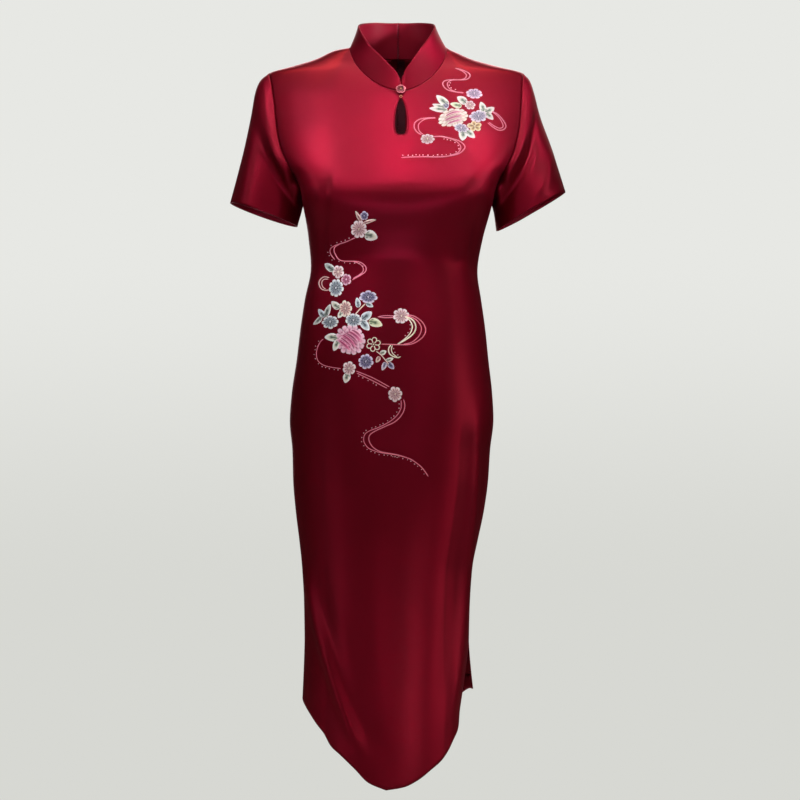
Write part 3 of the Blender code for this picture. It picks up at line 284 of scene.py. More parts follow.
def lift_nape(points):
    """Tilt the upper back up to the nape, so that the neck seam climbs behind."""
    x, y, z = points[..., 0], points[..., 1], points[..., 2]
    near = np.maximum(0.0, 1.0 - (x / NAPE_REACH) ** 2) ** 2
    rise = NAPE_RISE * (np.maximum(y, 0.0) / NAPE_DEPTH) ** 2 * near
    points[..., 2] = z + rise * ease(1.0 + z / NAPE_REACH)


def away_from(grid, inside, wraps=False):
    """Unit normals of a grid of points, turned away from a point inside the garment."""
    if wraps:
        around = np.roll(grid[:, :-1], -1, axis=1) - np.roll(grid[:, :-1], 1, axis=1)
        around = np.concatenate((around, around[:, :1]), axis=1)
    else:
        around = np.gradient(grid, axis=1)
    normals = np.cross(np.gradient(grid, axis=0), around)
    normals /= np.maximum(np.linalg.norm(normals, axis=2, keepdims=True), 1e-12)
    turned = np.sum(normals * (grid - inside), axis=2) < 0.0
    normals[turned] *= -1.0
    return normals


def core_of(grid):
    """For each point of a panel, a point on the garment's middle line below the neck."""
    z = grid[..., 2]
    return np.stack((section_at(FRONT, z)[0], np.zeros(z.shape), np.minimum(z, CORE_TOP_Z)), -1)


def crease_lift(face, grid):
    """How far the creases lift the cloth at each point of a face."""
    lift = np.zeros(grid.shape[:2])
    t = np.linspace(0.0, 1.0, CREASE_SAMPLES)
    for crease in CREASES:
        if crease.face != face:
            continue
        x = (1 - t) ** 2 * crease.top_x + 2 * t * (1 - t) * crease.mid_x + t * t * crease.low_x
        z = (1 - t) ** 2 * crease.top_z + 2 * t * (1 - t) * crease.mid_z + t * t * crease.low_z
        off = np.hypot(grid[..., 0, None] - x, grid[..., 2, None] - z)
        nearest = off.argmin(axis=-1)
        at = t[nearest]
        fade = ease(at / CREASE_FADE) * ease((1.0 - at) / CREASE_FADE)
        lift += crease.height * np.exp(-(off.min(axis=-1) / crease.width) ** 2) * fade
    return lift


def panel_half(face, side):
    """One half of the front or back: rows run down, columns outwards."""
    across = np.linspace(0.0, 1.0, ACROSS_STEPS + 1)
    down = np.linspace(0.0, 1.0, CHEST_STEPS + 1)
    top, arm = top_edge(face, side, across), armhole_edge(face, side, down)
    middle = centre_edge(face, side, down)
    under = np.full_like(across, UNDERARM_Z)
    level = along_section(face, side, under, across)[:, (0, 2)]
    level[0] = middle[-1]
    u, v = across[None, :, None], down[:, None, None]
    flat = ((1 - v) * top[None] + v * level[None] + (1 - u) * middle[:, None]
            + u * arm[:, None] - (1 - u) * ((1 - v) * top[0] + v * level[0])
            - u * ((1 - v) * top[-1] + v * level[-1]))
    chest = on_body(face, flat[..., 0], flat[..., 1])
    chest[0, across >= 0.5, 1] = 0.0
    chest[-1, -1, 1] = 0.0

    middle_z = HEM_FRONT_Z if face == FRONT else HEM_BACK_Z
    field = f"front_{side_name(side)}" if face == FRONT else "back"
    hem = middle_z + (HEM_CORNER_Z - middle_z) * read(HEM_RISE, field, across)
    drop = np.linspace(0.0, 1.0, SKIRT_STEPS + 1)[1:, None]
    z = UNDERARM_Z + (hem[None] - UNDERARM_Z) * drop
    skirt = along_section(face, side, z, np.broadcast_to(across, z.shape))
    low = np.clip((SLIT_TOP_Z - z) / (SLIT_TOP_Z - HEM_CORNER_Z), 0.0, SLIT_PULL_END)
    pull = low ** SLIT_PULL_CURVE * ease((across[None] - 1.0 + SLIT_REACH) / SLIT_REACH)
    edge = next(e for e in SLIT_EDGES if (e.face, e.side) == (face, side))
    skirt += pull[..., None] * np.array((side * edge.out, face * edge.away, edge.up))

    grid = np.concatenate((chest, skirt))
    side_fade = 1.0 - ease((across - 1.0 + SEAM_FADE_SHARE) / SEAM_FADE_SHARE)
    top_fade = np.minimum(np.arange(len(grid)), TOP_FADE_ROWS) / TOP_FADE_ROWS
    lift = crease_lift(face, grid) * side_fade[None] * top_fade[:, None]
    grid = grid + away_from(grid, core_of(grid)) * lift[..., None]
    if face == BACK:
        lift_nape(grid)
    return grid


def new_material(name, **values):
    """Start a material and set these values on its shader's sockets."""
    material = bpy.data.materials.new(name)
    material.use_nodes = True
    shader = material.node_tree.nodes["Principled BSDF"]
    for socket, value in values.items():
        shader.inputs[socket.replace("_", " ")].default_value = value
    return material, material.node_tree, shader


def add_node(tree, kind, feeds=None, **values):
    """Add a node: values are set on its sockets, feeds run into them from other nodes."""
    node = tree.nodes.new(kind)
    for socket, value in values.items():
        node.inputs[socket.replace("_", " ")].default_value = value
    for socket, source in (feeds or {}).items():
        tree.links.new(source, node.inputs[socket])
    return node


def feed(tree, shader, **sources):
    """Run these sources into the shader's sockets."""
    for socket, source in sources.items():
        tree.links.new(source, shader.inputs[socket.replace("_", " ")])


def object_texture(tree, kind, **values):
    """Add a texture that is fixed to the piece's own place."""
    place = add_node(tree, "ShaderNodeTexCoord")
    return add_node(tree, kind, {"Vector": place.outputs["Object"]}, **values)


def two_tones(tree, source, dark, light, low=0.0, high=1.0):
    """Dye from a dark to a light tone where the source runs from low to high."""
    ramp = add_node(tree, "ShaderNodeValToRGB", {"Fac": source})
    for stop, position, tone in zip(ramp.color_ramp.elements, (low, high), (dark, light)):
        stop.position, stop.color = position, (*tone, 1.0)
    return ramp.outputs["Color"]


def relief(tree, height, strength, distance, under=None):
    """Raise the surface by a height source, on top of the relief under it."""
    feeds = {"Height": height} if under is None else {"Height": height, "Normal": under}
    bump = add_node(tree, "ShaderNodeBump", feeds, Strength=strength, Distance=distance)
    return bump.outputs["Normal"]


def between(tree, source, low, high, **values):
    """Turn a source's range, 0 to 1 unless values say another, into low to high."""
    return add_node(tree, "ShaderNodeMapRange", {"Value": source}, To_Min=low, To_Max=high,
                    **values)


FLOATS_ACROSS, FLOATS_ALONG = 5200.0, 420.0
GROOVE_REACH, PUCKER_NEAR, PUCKER_FAR, PUCKER_SHARE = 0.0010, 0.001, 0.012, 0.35


def cloth_material(name, lit, shade, roughness, gleam):
    """Satin: long glossy floats in one direction, a fine weave, and puckers beside seams."""
    material, tree, shader = new_material(
        name, Metallic=gleam, Specular_IOR_Level=0.20, Specular_Tint=(0.50, 0.06, 0.12, 1.0),
        Anisotropic=0.60, Coat_Weight=0.09, Coat_Roughness=0.42, Sheen_Weight=0.01,
        Sheen_Roughness=0.35, Sheen_Tint=(1.0, 0.25, 0.35, 1.0))
    lengthwise = add_node(tree, "ShaderNodeTangent")
    lengthwise.direction_type, lengthwise.uv_map = "UV_MAP", "cloth"
    dye = object_texture(tree, "ShaderNodeTexNoise", Scale=9.0, Detail=4.0, Roughness=0.6)

    cut = add_node(tree, "ShaderNodeUVMap")
    cut.uv_map = "cloth"
    stretch = add_node(tree, "ShaderNodeMapping", {"Vector": cut.outputs["UV"]},
                       Scale=(FLOATS_ACROSS, FLOATS_ALONG, 1.0))
    floats = add_node(tree, "ShaderNodeTexNoise", {"Vector": stretch.outputs["Vector"]},
                      Scale=1.0, Detail=1.0)
    gloss = between(tree, floats.outputs["Fac"], roughness - 0.05, roughness + 0.05)

    seam = add_node(tree, "ShaderNodeAttribute")
    seam.attribute_name = "seam"
    groove = between(tree, seam.outputs["Fac"], 0.0, 1.0, From_Max=GROOVE_REACH)
    near = between(tree, seam.outputs["Fac"], 0.0, PUCKER_SHARE, From_Min=PUCKER_FAR,
                   From_Max=PUCKER_NEAR)
    groove.interpolation_type = near.interpolation_type = "SMOOTHSTEP"
    ripple = object_texture(tree, "ShaderNodeTexNoise", Scale=150.0, Detail=2.0)
    pucker = add_node(tree, "ShaderNodeMath",
                      {0: ripple.outputs["Fac"], 1: near.outputs["Result"]})
    pucker.operation = "MULTIPLY"
    form = add_node(tree, "ShaderNodeMath",
                    {0: groove.outputs["Result"], 1: pucker.outputs["Value"]})
    weave = relief(tree, floats.outputs["Fac"], 0.10, 0.00005)

    feed(tree, shader, Tangent=lengthwise.outputs["Tangent"],
         Base_Color=two_tones(tree, dye.outputs["Fac"], shade, lit, 0.35, 0.70),
         Roughness=gloss.outputs["Result"],
         Normal=relief(tree, form.outputs["Value"], 0.5, 0.0005, weave))
    return material


satin = cloth_material("wine_satin", (0.205, 0.0020, 0.0122), (0.182, 0.0016, 0.0104), 0.44, 0.75)
satin_reverse = cloth_material("satin_reverse", (0.260, 0.0070, 0.020), (0.220, 0.0055, 0.016),
                               0.62, 0.25)


def mark_pattern(faces, layer, place):
    """Give every corner of these faces its vertex's place in a flat pattern."""
    for face in faces:
        for loop in face.loops:
            loop[layer].uv = place[loop.vert]


def finished_piece(name, bm, *materials, smooth=True):
    """Close the modelling of a piece, give it its materials and put it in the scene."""
    mesh = bpy.data.meshes.new(name)
    bm.to_mesh(mesh)
    bm.free()
    if smooth:
        mesh.shade_smooth()
    for material in materials:
        mesh.materials.append(material)
    piece = bpy.data.objects.new(name, mesh)
    bpy.context.scene.collection.objects.link(piece)
    return piece


SEAM_WELD, SMOOTHING_PASSES, FAR_FROM_SEAM = 0.00003, 2, 0.05


def cloth_piece(name, grids, seams, thickness=CLOTH):
    """Lay grids of points as cloth in one mesh, mark the way to its seams, give it a wall."""
    bm = bmesh.new()
    pattern = bm.loops.layers.uv.new("cloth")
    for grid in grids:
        rows, columns = grid.shape[:2]
        laid = bmesh.ops.create_grid(bm, x_segments=columns - 1, y_segments=rows - 1, size=0.5)
        across, down = np.zeros((2, rows, columns))
        across[:, 1:] = np.cumsum(np.linalg.norm(np.diff(grid, axis=1), axis=2), axis=1)
        down[1:] = np.cumsum(np.linalg.norm(np.diff(grid, axis=0), axis=2), axis=0)
        place = {}
        for vert, point, u, v in zip(laid["verts"], grid.reshape(-1, 3), across.ravel(),
                                     down.ravel()):
            vert.co = point
            place[vert] = (u, -v)
        mark_pattern({face for vert in laid["verts"] for face in vert.link_faces}, pattern, place)
    bmesh.ops.remove_doubles(bm, verts=bm.verts, dist=SEAM_WELD)
    inner = [vert for vert in bm.verts if not vert.is_boundary]
    for _ in range(SMOOTHING_PASSES):
        bmesh.ops.smooth_vert(bm, verts=inner, factor=0.5,
                              use_axis_x=True, use_axis_y=True, use_axis_z=True)
    points = np.concatenate(seams)
    nearest = KDTree(len(points))
    for index, point in enumerate(points):
        nearest.insert(point, index)
    nearest.balance()
    gap = bm.verts.layers.float.new("seam")
    for vert in bm.verts:
        vert[gap] = min(nearest.find(vert.co)[2], FAR_FROM_SEAM)
    bmesh.ops.recalc_face_normals(bm, faces=bm.faces)
    piece = finished_piece(name, bm, satin, satin_reverse)
    wall = piece.modifiers.new("wall", "SOLIDIFY")
    wall.thickness, wall.offset, wall.use_even_offset = thickness, -1.0, False
    wall.material_offset = 1
    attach(piece, "dress")
    return piece


def facing_out(piece, middle):
    """Turn the faces of a sheet outwards, judged by its face that is farthest from a middle."""
    face = max(piece.data.polygons, key=lambda f: (f.center - Vector(middle)).length)
    if face.normal.dot(face.center - Vector(middle)) < 0.0:
        piece.data.flip_normals()


halves = {(face, side): panel_half(face, side) for face in (FRONT, BACK)
          for side in (LEFT, RIGHT)}
# Below the keyhole the two halves of the front share their middle column.
closed = int(round(CHEST_STEPS * KEYHOLE_BOTTOM_SHARE))
mean = (halves[FRONT, LEFT][closed:, 0] + halves[FRONT, RIGHT][closed:, 0]) / 2.0
halves[FRONT, LEFT][closed:, 0] = halves[FRONT, RIGHT][closed:, 0] = mean


def slit_row(grid):
    """The first row of a panel's half that is open at the slit."""
    return int(np.argmax(grid[:, -1, 2] < SLIT_TOP_Z))


def seam_lines(grid):
    """The sewn edges of a panel's half: its top, its armhole and its side down to the slit."""
    return [grid[0], grid[:slit_row(grid), -1]]


SEAM_ALLOWANCE_COLUMNS, SHOULDER_ALLOWANCE_ROWS, SLIT_ALLOWANCE_ROWS = 4, 4, 8
HEM_TURN_ROWS, FACING_COLUMNS, FACING_ROWS, BACK_FACING_ROWS = 5, 7, 11, 9
KEYHOLE_FACING_ROWS, ZIP_FACING_COLUMNS = 9, 4
BAND_GAP, BAND_CLOTH = 0.0004, 0.0006
PANELS_MIDDLE = (0.0, 0.0, -0.5)
NECK_COLUMN = ACROSS_STEPS // 2


def inside_of(grid):
    """A panel's grid of points, moved inwards to where bands lie on its inner face."""
    return grid - away_from(grid, core_of(grid)) * (CLOTH + BAND_GAP)


def inner_bands(name, grid, inner):
    """A panel's pressed-open seam allowances and its turned-up hem, on its inner face."""
    shoulder = inner[1:1 + SHOULDER_ALLOWANCE_ROWS, NECK_COLUMN:-1 - SEAM_ALLOWANCE_COLUMNS]
    side = inner[1:slit_row(grid) + SLIT_ALLOWANCE_ROWS, -1 - SEAM_ALLOWANCE_COLUMNS:-1]
    allowance = cloth_piece(f"{name}_allowance", [side, shoulder], [inner[:, -1]], BAND_CLOTH)
    hem = cloth_piece(f"{name}_hem_turn", [inner[-1 - HEM_TURN_ROWS:, :-1]], [inner[-1]],
                      BAND_CLOTH)
    return [allowance, hem]


front_panel = cloth_piece(
    "front_panel_satin", [halves[FRONT, LEFT], halves[FRONT, RIGHT]],
    seam_lines(halves[FRONT, LEFT]) + seam_lines(halves[FRONT, RIGHT]))
facing_out(front_panel, PANELS_MIDDLE)
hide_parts("front_panel")
front_bands = []
for side in (LEFT, RIGHT):
    grid = halves[FRONT, side]
    inner = inside_of(grid)
    front_bands += inner_bands(f"front_{side_name(side)}", grid, inner)
    front_bands.append(cloth_piece(
        f"front_facing_{side_name(side)}",
        [inner[:closed + KEYHOLE_FACING_ROWS, :FACING_COLUMNS + 1],
         inner[:FACING_ROWS, FACING_COLUMNS:NECK_COLUMN + 1]],
        [inner[:, 0]], BAND_CLOTH))
for side in (LEFT, RIGHT):
    name = f"back_panel_{side_name(side)}"
    grid = halves[BACK, side]
    back_panel = cloth_piece(f"{name}_satin", [grid], seam_lines(grid) + [grid[:, 0]])
    facing_out(back_panel, PANELS_MIDDLE)
    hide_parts(name)
    inner = inside_of(grid)
    back_bands = inner_bands(f"back_{side_name(side)}", grid, inner)
    back_bands.append(cloth_piece(
        f"back_facing_{side_name(side)}",
        [inner[:BACK_FACING_ROWS, ZIP_FACING_COLUMNS:NECK_COLUMN + 1]], [inner[0]], BAND_CLOTH))

ROLL_RADIUS, ROLL_SIDES, ROLL_WELD, ROLL_WEAVE_STEP = 0.00085, 8, 0.00001, 0.0007
UPRIGHT = 0.9
KEYHOLE_ROLL_DEPTH = 0.45 * CLOTH


def rolled_edge(name, path, radius):
    """A narrow roll of bias-cut satin that finishes a raw edge."""
    bm = bmesh.new()
    pattern = bm.loops.layers.uv.new("cloth")
    roll = bmesh.ops.create_grid(bm, x_segments=ROLL_SIDES, y_segments=len(path) - 1, size=0.5)
    heading = np.gradient(path, axis=0)
    heading /= np.linalg.norm(heading, axis=1, keepdims=True)
    reach = reach_along(path)
    place = {}
    for index, vert in enumerate(roll["verts"]):
        k, column = divmod(index, ROLL_SIDES + 1)
        turn = 2.0 * math.pi * column / ROLL_SIDES
        steep = abs(heading[k][2]) >= UPRIGHT
        first = np.cross(heading[k], (1.0, 0.0, 0.0) if steep else (0.0, 0.0, 1.0))
        first /= np.linalg.norm(first)
        second = np.cross(heading[k], first)
        vert.co = path[k] + (first * math.cos(turn) + second * math.sin(turn)) * radius
        place[vert] = (reach[k], column * ROLL_WEAVE_STEP)
    mark_pattern(bm.faces, pattern, place)
    bmesh.ops.remove_doubles(bm, verts=bm.verts, dist=ROLL_WELD)
    bmesh.ops.holes_fill(bm, edges=[edge for edge in bm.edges if edge.is_boundary],
                         sides=ROLL_SIDES)
    bmesh.ops.recalc_face_normals(bm, faces=bm.faces)
    gap = bm.verts.layers.float.new("seam")
    for vert in bm.verts:
        vert[gap] = FAR_FROM_SEAM
    piece = finished_piece(name, bm, satin)
    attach(piece, "dress")
    return piece


keyhole_top = int(round(CHEST_STEPS * KEYHOLE_TOP_SHARE))
keyhole_path = np.concatenate((halves[FRONT, LEFT][keyhole_top:closed, 0],
                               halves[FRONT, RIGHT][closed:keyhole_top - 1:-1, 0]))
keyhole_path = keyhole_path + np.array((0.0, KEYHOLE_ROLL_DEPTH, 0.0))
rolled_edge("keyhole_rolled_edge", keyhole_path, ROLL_RADIUS)

# ---------------------------------------------------------------- sleeves
# Each short sleeve is one piece of the same satin, eased into the armhole and closed by a
# seam under the arm. Its hem is turned up inside.
SleeveRing = namedtuple("SleeveRing", "along outer_x outer_z inner_x inner_z half_depth")
SLEEVE_RINGS = {
    LEFT: (
        SleeveRing(0.00, 0.1905, SHOULDER_TIP_Z, 0.1380, UNDERARM_Z, 0.041),
        SleeveRing(0.08, 0.2030, -0.0310, 0.1390, -0.2200, 0.044),
        SleeveRing(0.18, 0.2105, -0.0490, 0.1400, -0.2230, 0.047),
        SleeveRing(0.35, 0.2165, -0.0850, 0.1415, -0.2295, 0.050),
        SleeveRing(0.60, 0.2260, -0.1310, 0.1440, -0.2380, 0.053),
        SleeveRing(0.80, 0.2365, -0.1730, 0.1458, -0.2440, 0.055),
        SleeveRing(1.00, 0.2480, -0.2160, 0.1475, -0.2505, 0.056),
    ),
    RIGHT: (
        SleeveRing(0.00, 0.1905, SHOULDER_TIP_Z, 0.1430, UNDERARM_Z, 0.041),
        SleeveRing(0.08, 0.2000, -0.0310, 0.1440, -0.2205, 0.044),
        SleeveRing(0.18, 0.2060, -0.0490, 0.1450, -0.2240, 0.047),
        SleeveRing(0.35, 0.2150, -0.0850, 0.1465, -0.2310, 0.050),
        SleeveRing(0.60, 0.2310, -0.1290, 0.1480, -0.2410, 0.053),
        SleeveRing(0.80, 0.2430, -0.1660, 0.1490, -0.2490, 0.055),
        SleeveRing(1.00, 0.2535, -0.1995, 0.1500, -0.2570, 0.056),
    ),
}
SLEEVE_Y, SLEEVE_Y_RATE, SLEEVE_CAP_FADE, SLEEVE_SPACING = -0.006, 3.0, 0.55, 1.15
SleeveFold = namedtuple(
    "SleeveFold", "side top_turn top_along low_turn low_along height half_turn")
SLEEVE_FOLDS = (
    SleeveFold(LEFT, 40.0, 0.30, 62.0, 1.00, 0.0035, 20.0),
    SleeveFold(LEFT, 95.0, 0.15, 100.0, 1.00, -0.0040, 24.0),
    SleeveFold(LEFT, 250.0, 0.25, 290.0, 0.95, -0.0035, 26.0),
    SleeveFold(RIGHT, 30.0, 0.22, 95.0, 0.60, -0.0032, 17.0),
    SleeveFold(RIGHT, 22.0, 0.60, 80.0, 0.95, 0.0024, 18.0),
    SleeveFold(RIGHT, 285.0, 0.30, 245.0, 1.00, -0.0035, 24.0),
)
SLEEVE_FOLD_FADE = 0.3
SLEEVE_STEPS = 44
CUFF_TURN_ROWS, CAP_ALLOWANCE_ROWS = 5, 3


def out_of_tube(rings):
    """Unit normals of a tube of closed rings, turned away from each ring's middle."""
    middle = np.broadcast_to(rings[:, :-1].mean(axis=1, keepdims=True), rings.shape)
    return away_from(rings, middle, wraps=True)


def sleeve_tube(side):
    """Rings from the armhole down to the cuff; the first and last columns meet."""
    front, back = (halves[face, side][:CHEST_STEPS + 1, -1] for face in (FRONT, BACK))
    armhole = np.concatenate((front, back[-2::-1]))
    turn = np.linspace(0.0, 2.0 * math.pi, len(armhole))
    along = np.linspace(0.0, 1.0, SLEEVE_STEPS + 1) ** SLEEVE_SPACING
    outer_x, outer_z, inner_x, inner_z, deep = (
        read(SLEEVE_RINGS[side], field, along)
        for field in ("outer_x", "outer_z", "inner_x", "inner_z", "half_depth"))
    y = SLEEVE_Y * np.minimum(along * SLEEVE_Y_RATE, 1.0)
    outer = np.stack((side * outer_x, y, outer_z), -1)[:, None]
    inner = np.stack((side * inner_x, y, inner_z), -1)[:, None]
    forward = np.stack((np.zeros_like(deep), -deep, np.zeros_like(deep)), -1)[:, None]
    rings = ((outer + inner) / 2.0 + (outer - inner) / 2.0 * np.cos(turn)[None, :, None]
             + forward * np.sin(turn)[None, :, None])
    fade = 1.0 - ease(along / SLEEVE_CAP_FADE)
    rings = rings + (armhole - rings[0])[None] * fade[:, None, None]
    lift = np.zeros(rings.shape[:2])
    for fold in SLEEVE_FOLDS:
        if fold.side != side:
            continue
        step = (along - fold.top_along) / (fold.low_along - fold.top_along)
        end = 1.0 if fold.low_along >= 1.0 else ease((1.0 - step) / SLEEVE_FOLD_FADE)
        centre = fold.top_turn + (fold.low_turn - fold.top_turn) * np.clip(step, 0.0, 1.0)
        off = (np.degrees(turn)[None] - centre[:, None]) / fold.half_turn
        fade = ease(step / SLEEVE_FOLD_FADE) * end
        lift += fold.height * np.exp(-off * off) * fade[:, None]
    rings = rings + out_of_tube(rings) * lift[..., None]
    rings[:, -1] = rings[:, 0]
    return rings


for side in (LEFT, RIGHT):
    name = f"sleeve_{side_name(side)}"
    tube = sleeve_tube(side)
    sleeve = cloth_piece(f"{name}_satin", [tube], [tube[0], tube[:, CHEST_STEPS]])
    facing_out(sleeve, tube[SLEEVE_STEPS // 2].mean(axis=0))
    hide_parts(name)
    inner = tube - out_of_tube(tube) * (CLOTH + BAND_GAP)
    cuff = cloth_piece(f"{name}_hem_turn", [inner[-1 - CUFF_TURN_ROWS:]], [inner[-1]],
                       BAND_CLOTH)
    cap = cloth_piece(f"{name}_allowance", [inner[:CAP_ALLOWANCE_ROWS + 1]], [inner[0]],
                      BAND_CLOTH)

# ---------------------------------------------------------------- stand collar
# Two halves, each of two layers of satin over interfacing, stand on the neck seam. They meet
# at the zip behind and part in a V at the front.
COLLAR_TOP_X, COLLAR_TOP_Y = 0.0010, -0.0090
COLLAR_TOP_HALF_WIDTH, COLLAR_TOP_HALF_DEPTH = 0.0580, 0.0590
COLLAR_SIDE_ANGLE, COLLAR_HOLLOW = 98.0, 0.0014
COLLAR_FRONT_ANGLE, COLLAR_BACK_ANGLE = 40.0, 90.0
CollarEdge = namedtuple("CollarEdge", "angle z")
COLLAR_EDGE = (
    CollarEdge(0.0, -0.0445),
    CollarEdge(7.0, -0.0305),
    CollarEdge(18.0, -0.0170),
    CollarEdge(33.0, 0.0000),
    CollarEdge(56.0, 0.0235),
    CollarEdge(75.0, 0.0400),
    CollarEdge(90.0, 0.0485),
    CollarEdge(120.0, 0.0585),
    CollarEdge(150.0, 0.0640),
    CollarEdge(180.0, 0.0655),
)
COLLAR_ROWS = 26
COLLAR_CLOTH = 0.0020
stands = {}
for side in (LEFT, RIGHT):
    front_neck = halves[FRONT, side][0, :NECK_COLUMN + 1]
    back_neck = halves[BACK, side][0, NECK_COLUMN - 1::-1]
    base = np.concatenate((front_neck, back_neck))
    step = np.arange(len(base)) / NECK_COLUMN
    angle = np.where(step <= 1.0, COLLAR_SIDE_ANGLE * step,
                     COLLAR_SIDE_ANGLE + (180.0 - COLLAR_SIDE_ANGLE) * (step - 1.0))
    turn = np.radians(angle)
    front_share = np.minimum(angle / COLLAR_FRONT_ANGLE, 1.0)
    back_share = ease((angle - COLLAR_BACK_ANGLE) / (180.0 - COLLAR_BACK_ANGLE))
    centre = (NECK_FRONT_X + (COLLAR_TOP_X - NECK_FRONT_X) * front_share
              + (NECK_SIDE_X - COLLAR_TOP_X) * back_share)
    high = np.stack((centre + side * COLLAR_TOP_HALF_WIDTH * np.sin(turn),
                     COLLAR_TOP_Y - COLLAR_TOP_HALF_DEPTH * np.cos(turn),
                     read(COLLAR_EDGE, "z", angle)), -1)
    inwards = np.stack((-side * np.sin(turn), np.cos(turn), np.zeros_like(turn)), -1)
    t = np.linspace(0.0, 1.0, COLLAR_ROWS + 1)[:, None, None]
    hollow = COLLAR_HOLLOW * 4.0 * t * (1.0 - t) * np.sin(turn / 2.0)[None, :, None]
    stand = base[None] + (high - base)[None] * t + inwards[None] * hollow
    stands[side] = stand
    name = f"collar_{side_name(side)}"
    collar = cloth_piece(f"{name}_satin", [stand], [stand[0], stand[:, -1]], COLLAR_CLOTH)
    facing_out(collar, (COLLAR_TOP_X, COLLAR_TOP_Y, 0.0))
    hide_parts(name)
    fold = rolled_edge(f"{name}_folded_edge", stand[-1] + inwards * COLLAR_CLOTH / 2.0,
                       COLLAR_CLOTH / 2.0)

# ---------------------------------------------------------------- embroidery
# Two sprays of flowers and leaves in stranded viscose, satin-stitched over the made-up panel,
# with couched cords and small glass beads. Each round of petals is one raised bed of stitches,
# pale at its scalloped rim, with darker straight stitches round the heart.
Thread = namedtuple("Thread", "edge body heart")
THREADS = {
    "cream_leaf": Thread((255, 244, 238), (248, 238, 214), (34, 66, 44)),
    "blush_leaf": Thread((255, 232, 230), (250, 236, 214), (36, 68, 48)),
    "yellow_leaf": Thread((255, 244, 216), (232, 230, 180), (44, 80, 42)),
    "grey_leaf": Thread((252, 244, 236), (196, 198, 184), (18, 40, 36)),
    "blue_leaf": Thread((255, 250, 248), (208, 216, 214), (22, 38, 54)),
    "blush": Thread((255, 234, 230), (252, 212, 202), (142, 62, 78)),
    "peach": Thread((255, 234, 214), (248, 196, 180), (128, 48, 66)),
    "rose": Thread((255, 206, 216), (226, 120, 152), (112, 14, 50)),
    "rose_streak": Thread((246, 160, 182), (222, 100, 140), (128, 18, 64)),
    "lilac_pink": Thread((255, 214, 228), (232, 186, 210), (34, 34, 84)),
    "lilac": Thread((255, 228, 238), (212, 192, 210), (44, 44, 86)),
    "purple": Thread((240, 222, 238), (142, 128, 166), (24, 20, 50)),
    "blue_grey": Thread((250, 244, 240), (176, 182, 190), (16, 28, 42)),
    "gold": Thread((255, 236, 200), (234, 190, 124), (96, 48, 24)),
    "rose_cord": Thread((255, 140, 160), (255, 112, 138), (214, 60, 92)),
    "bright_cord": Thread((255, 132, 150), (252, 94, 120), (190, 50, 80)),
    "pink_cord": Thread((255, 136, 156), (244, 104, 130), (160, 40, 66)),
    "peach_cord": Thread((255, 224, 206), (252, 204, 184), (170, 96, 90)),
    "cream_cord": Thread((255, 240, 214), (255, 228, 190), (190, 150, 100)),
    "tan_cord": Thread((255, 206, 194), (244, 176, 166), (140, 66, 66)),
}
Leaf = namedtuple("Leaf", "tip_x tip_z foot_x foot_z width thread")
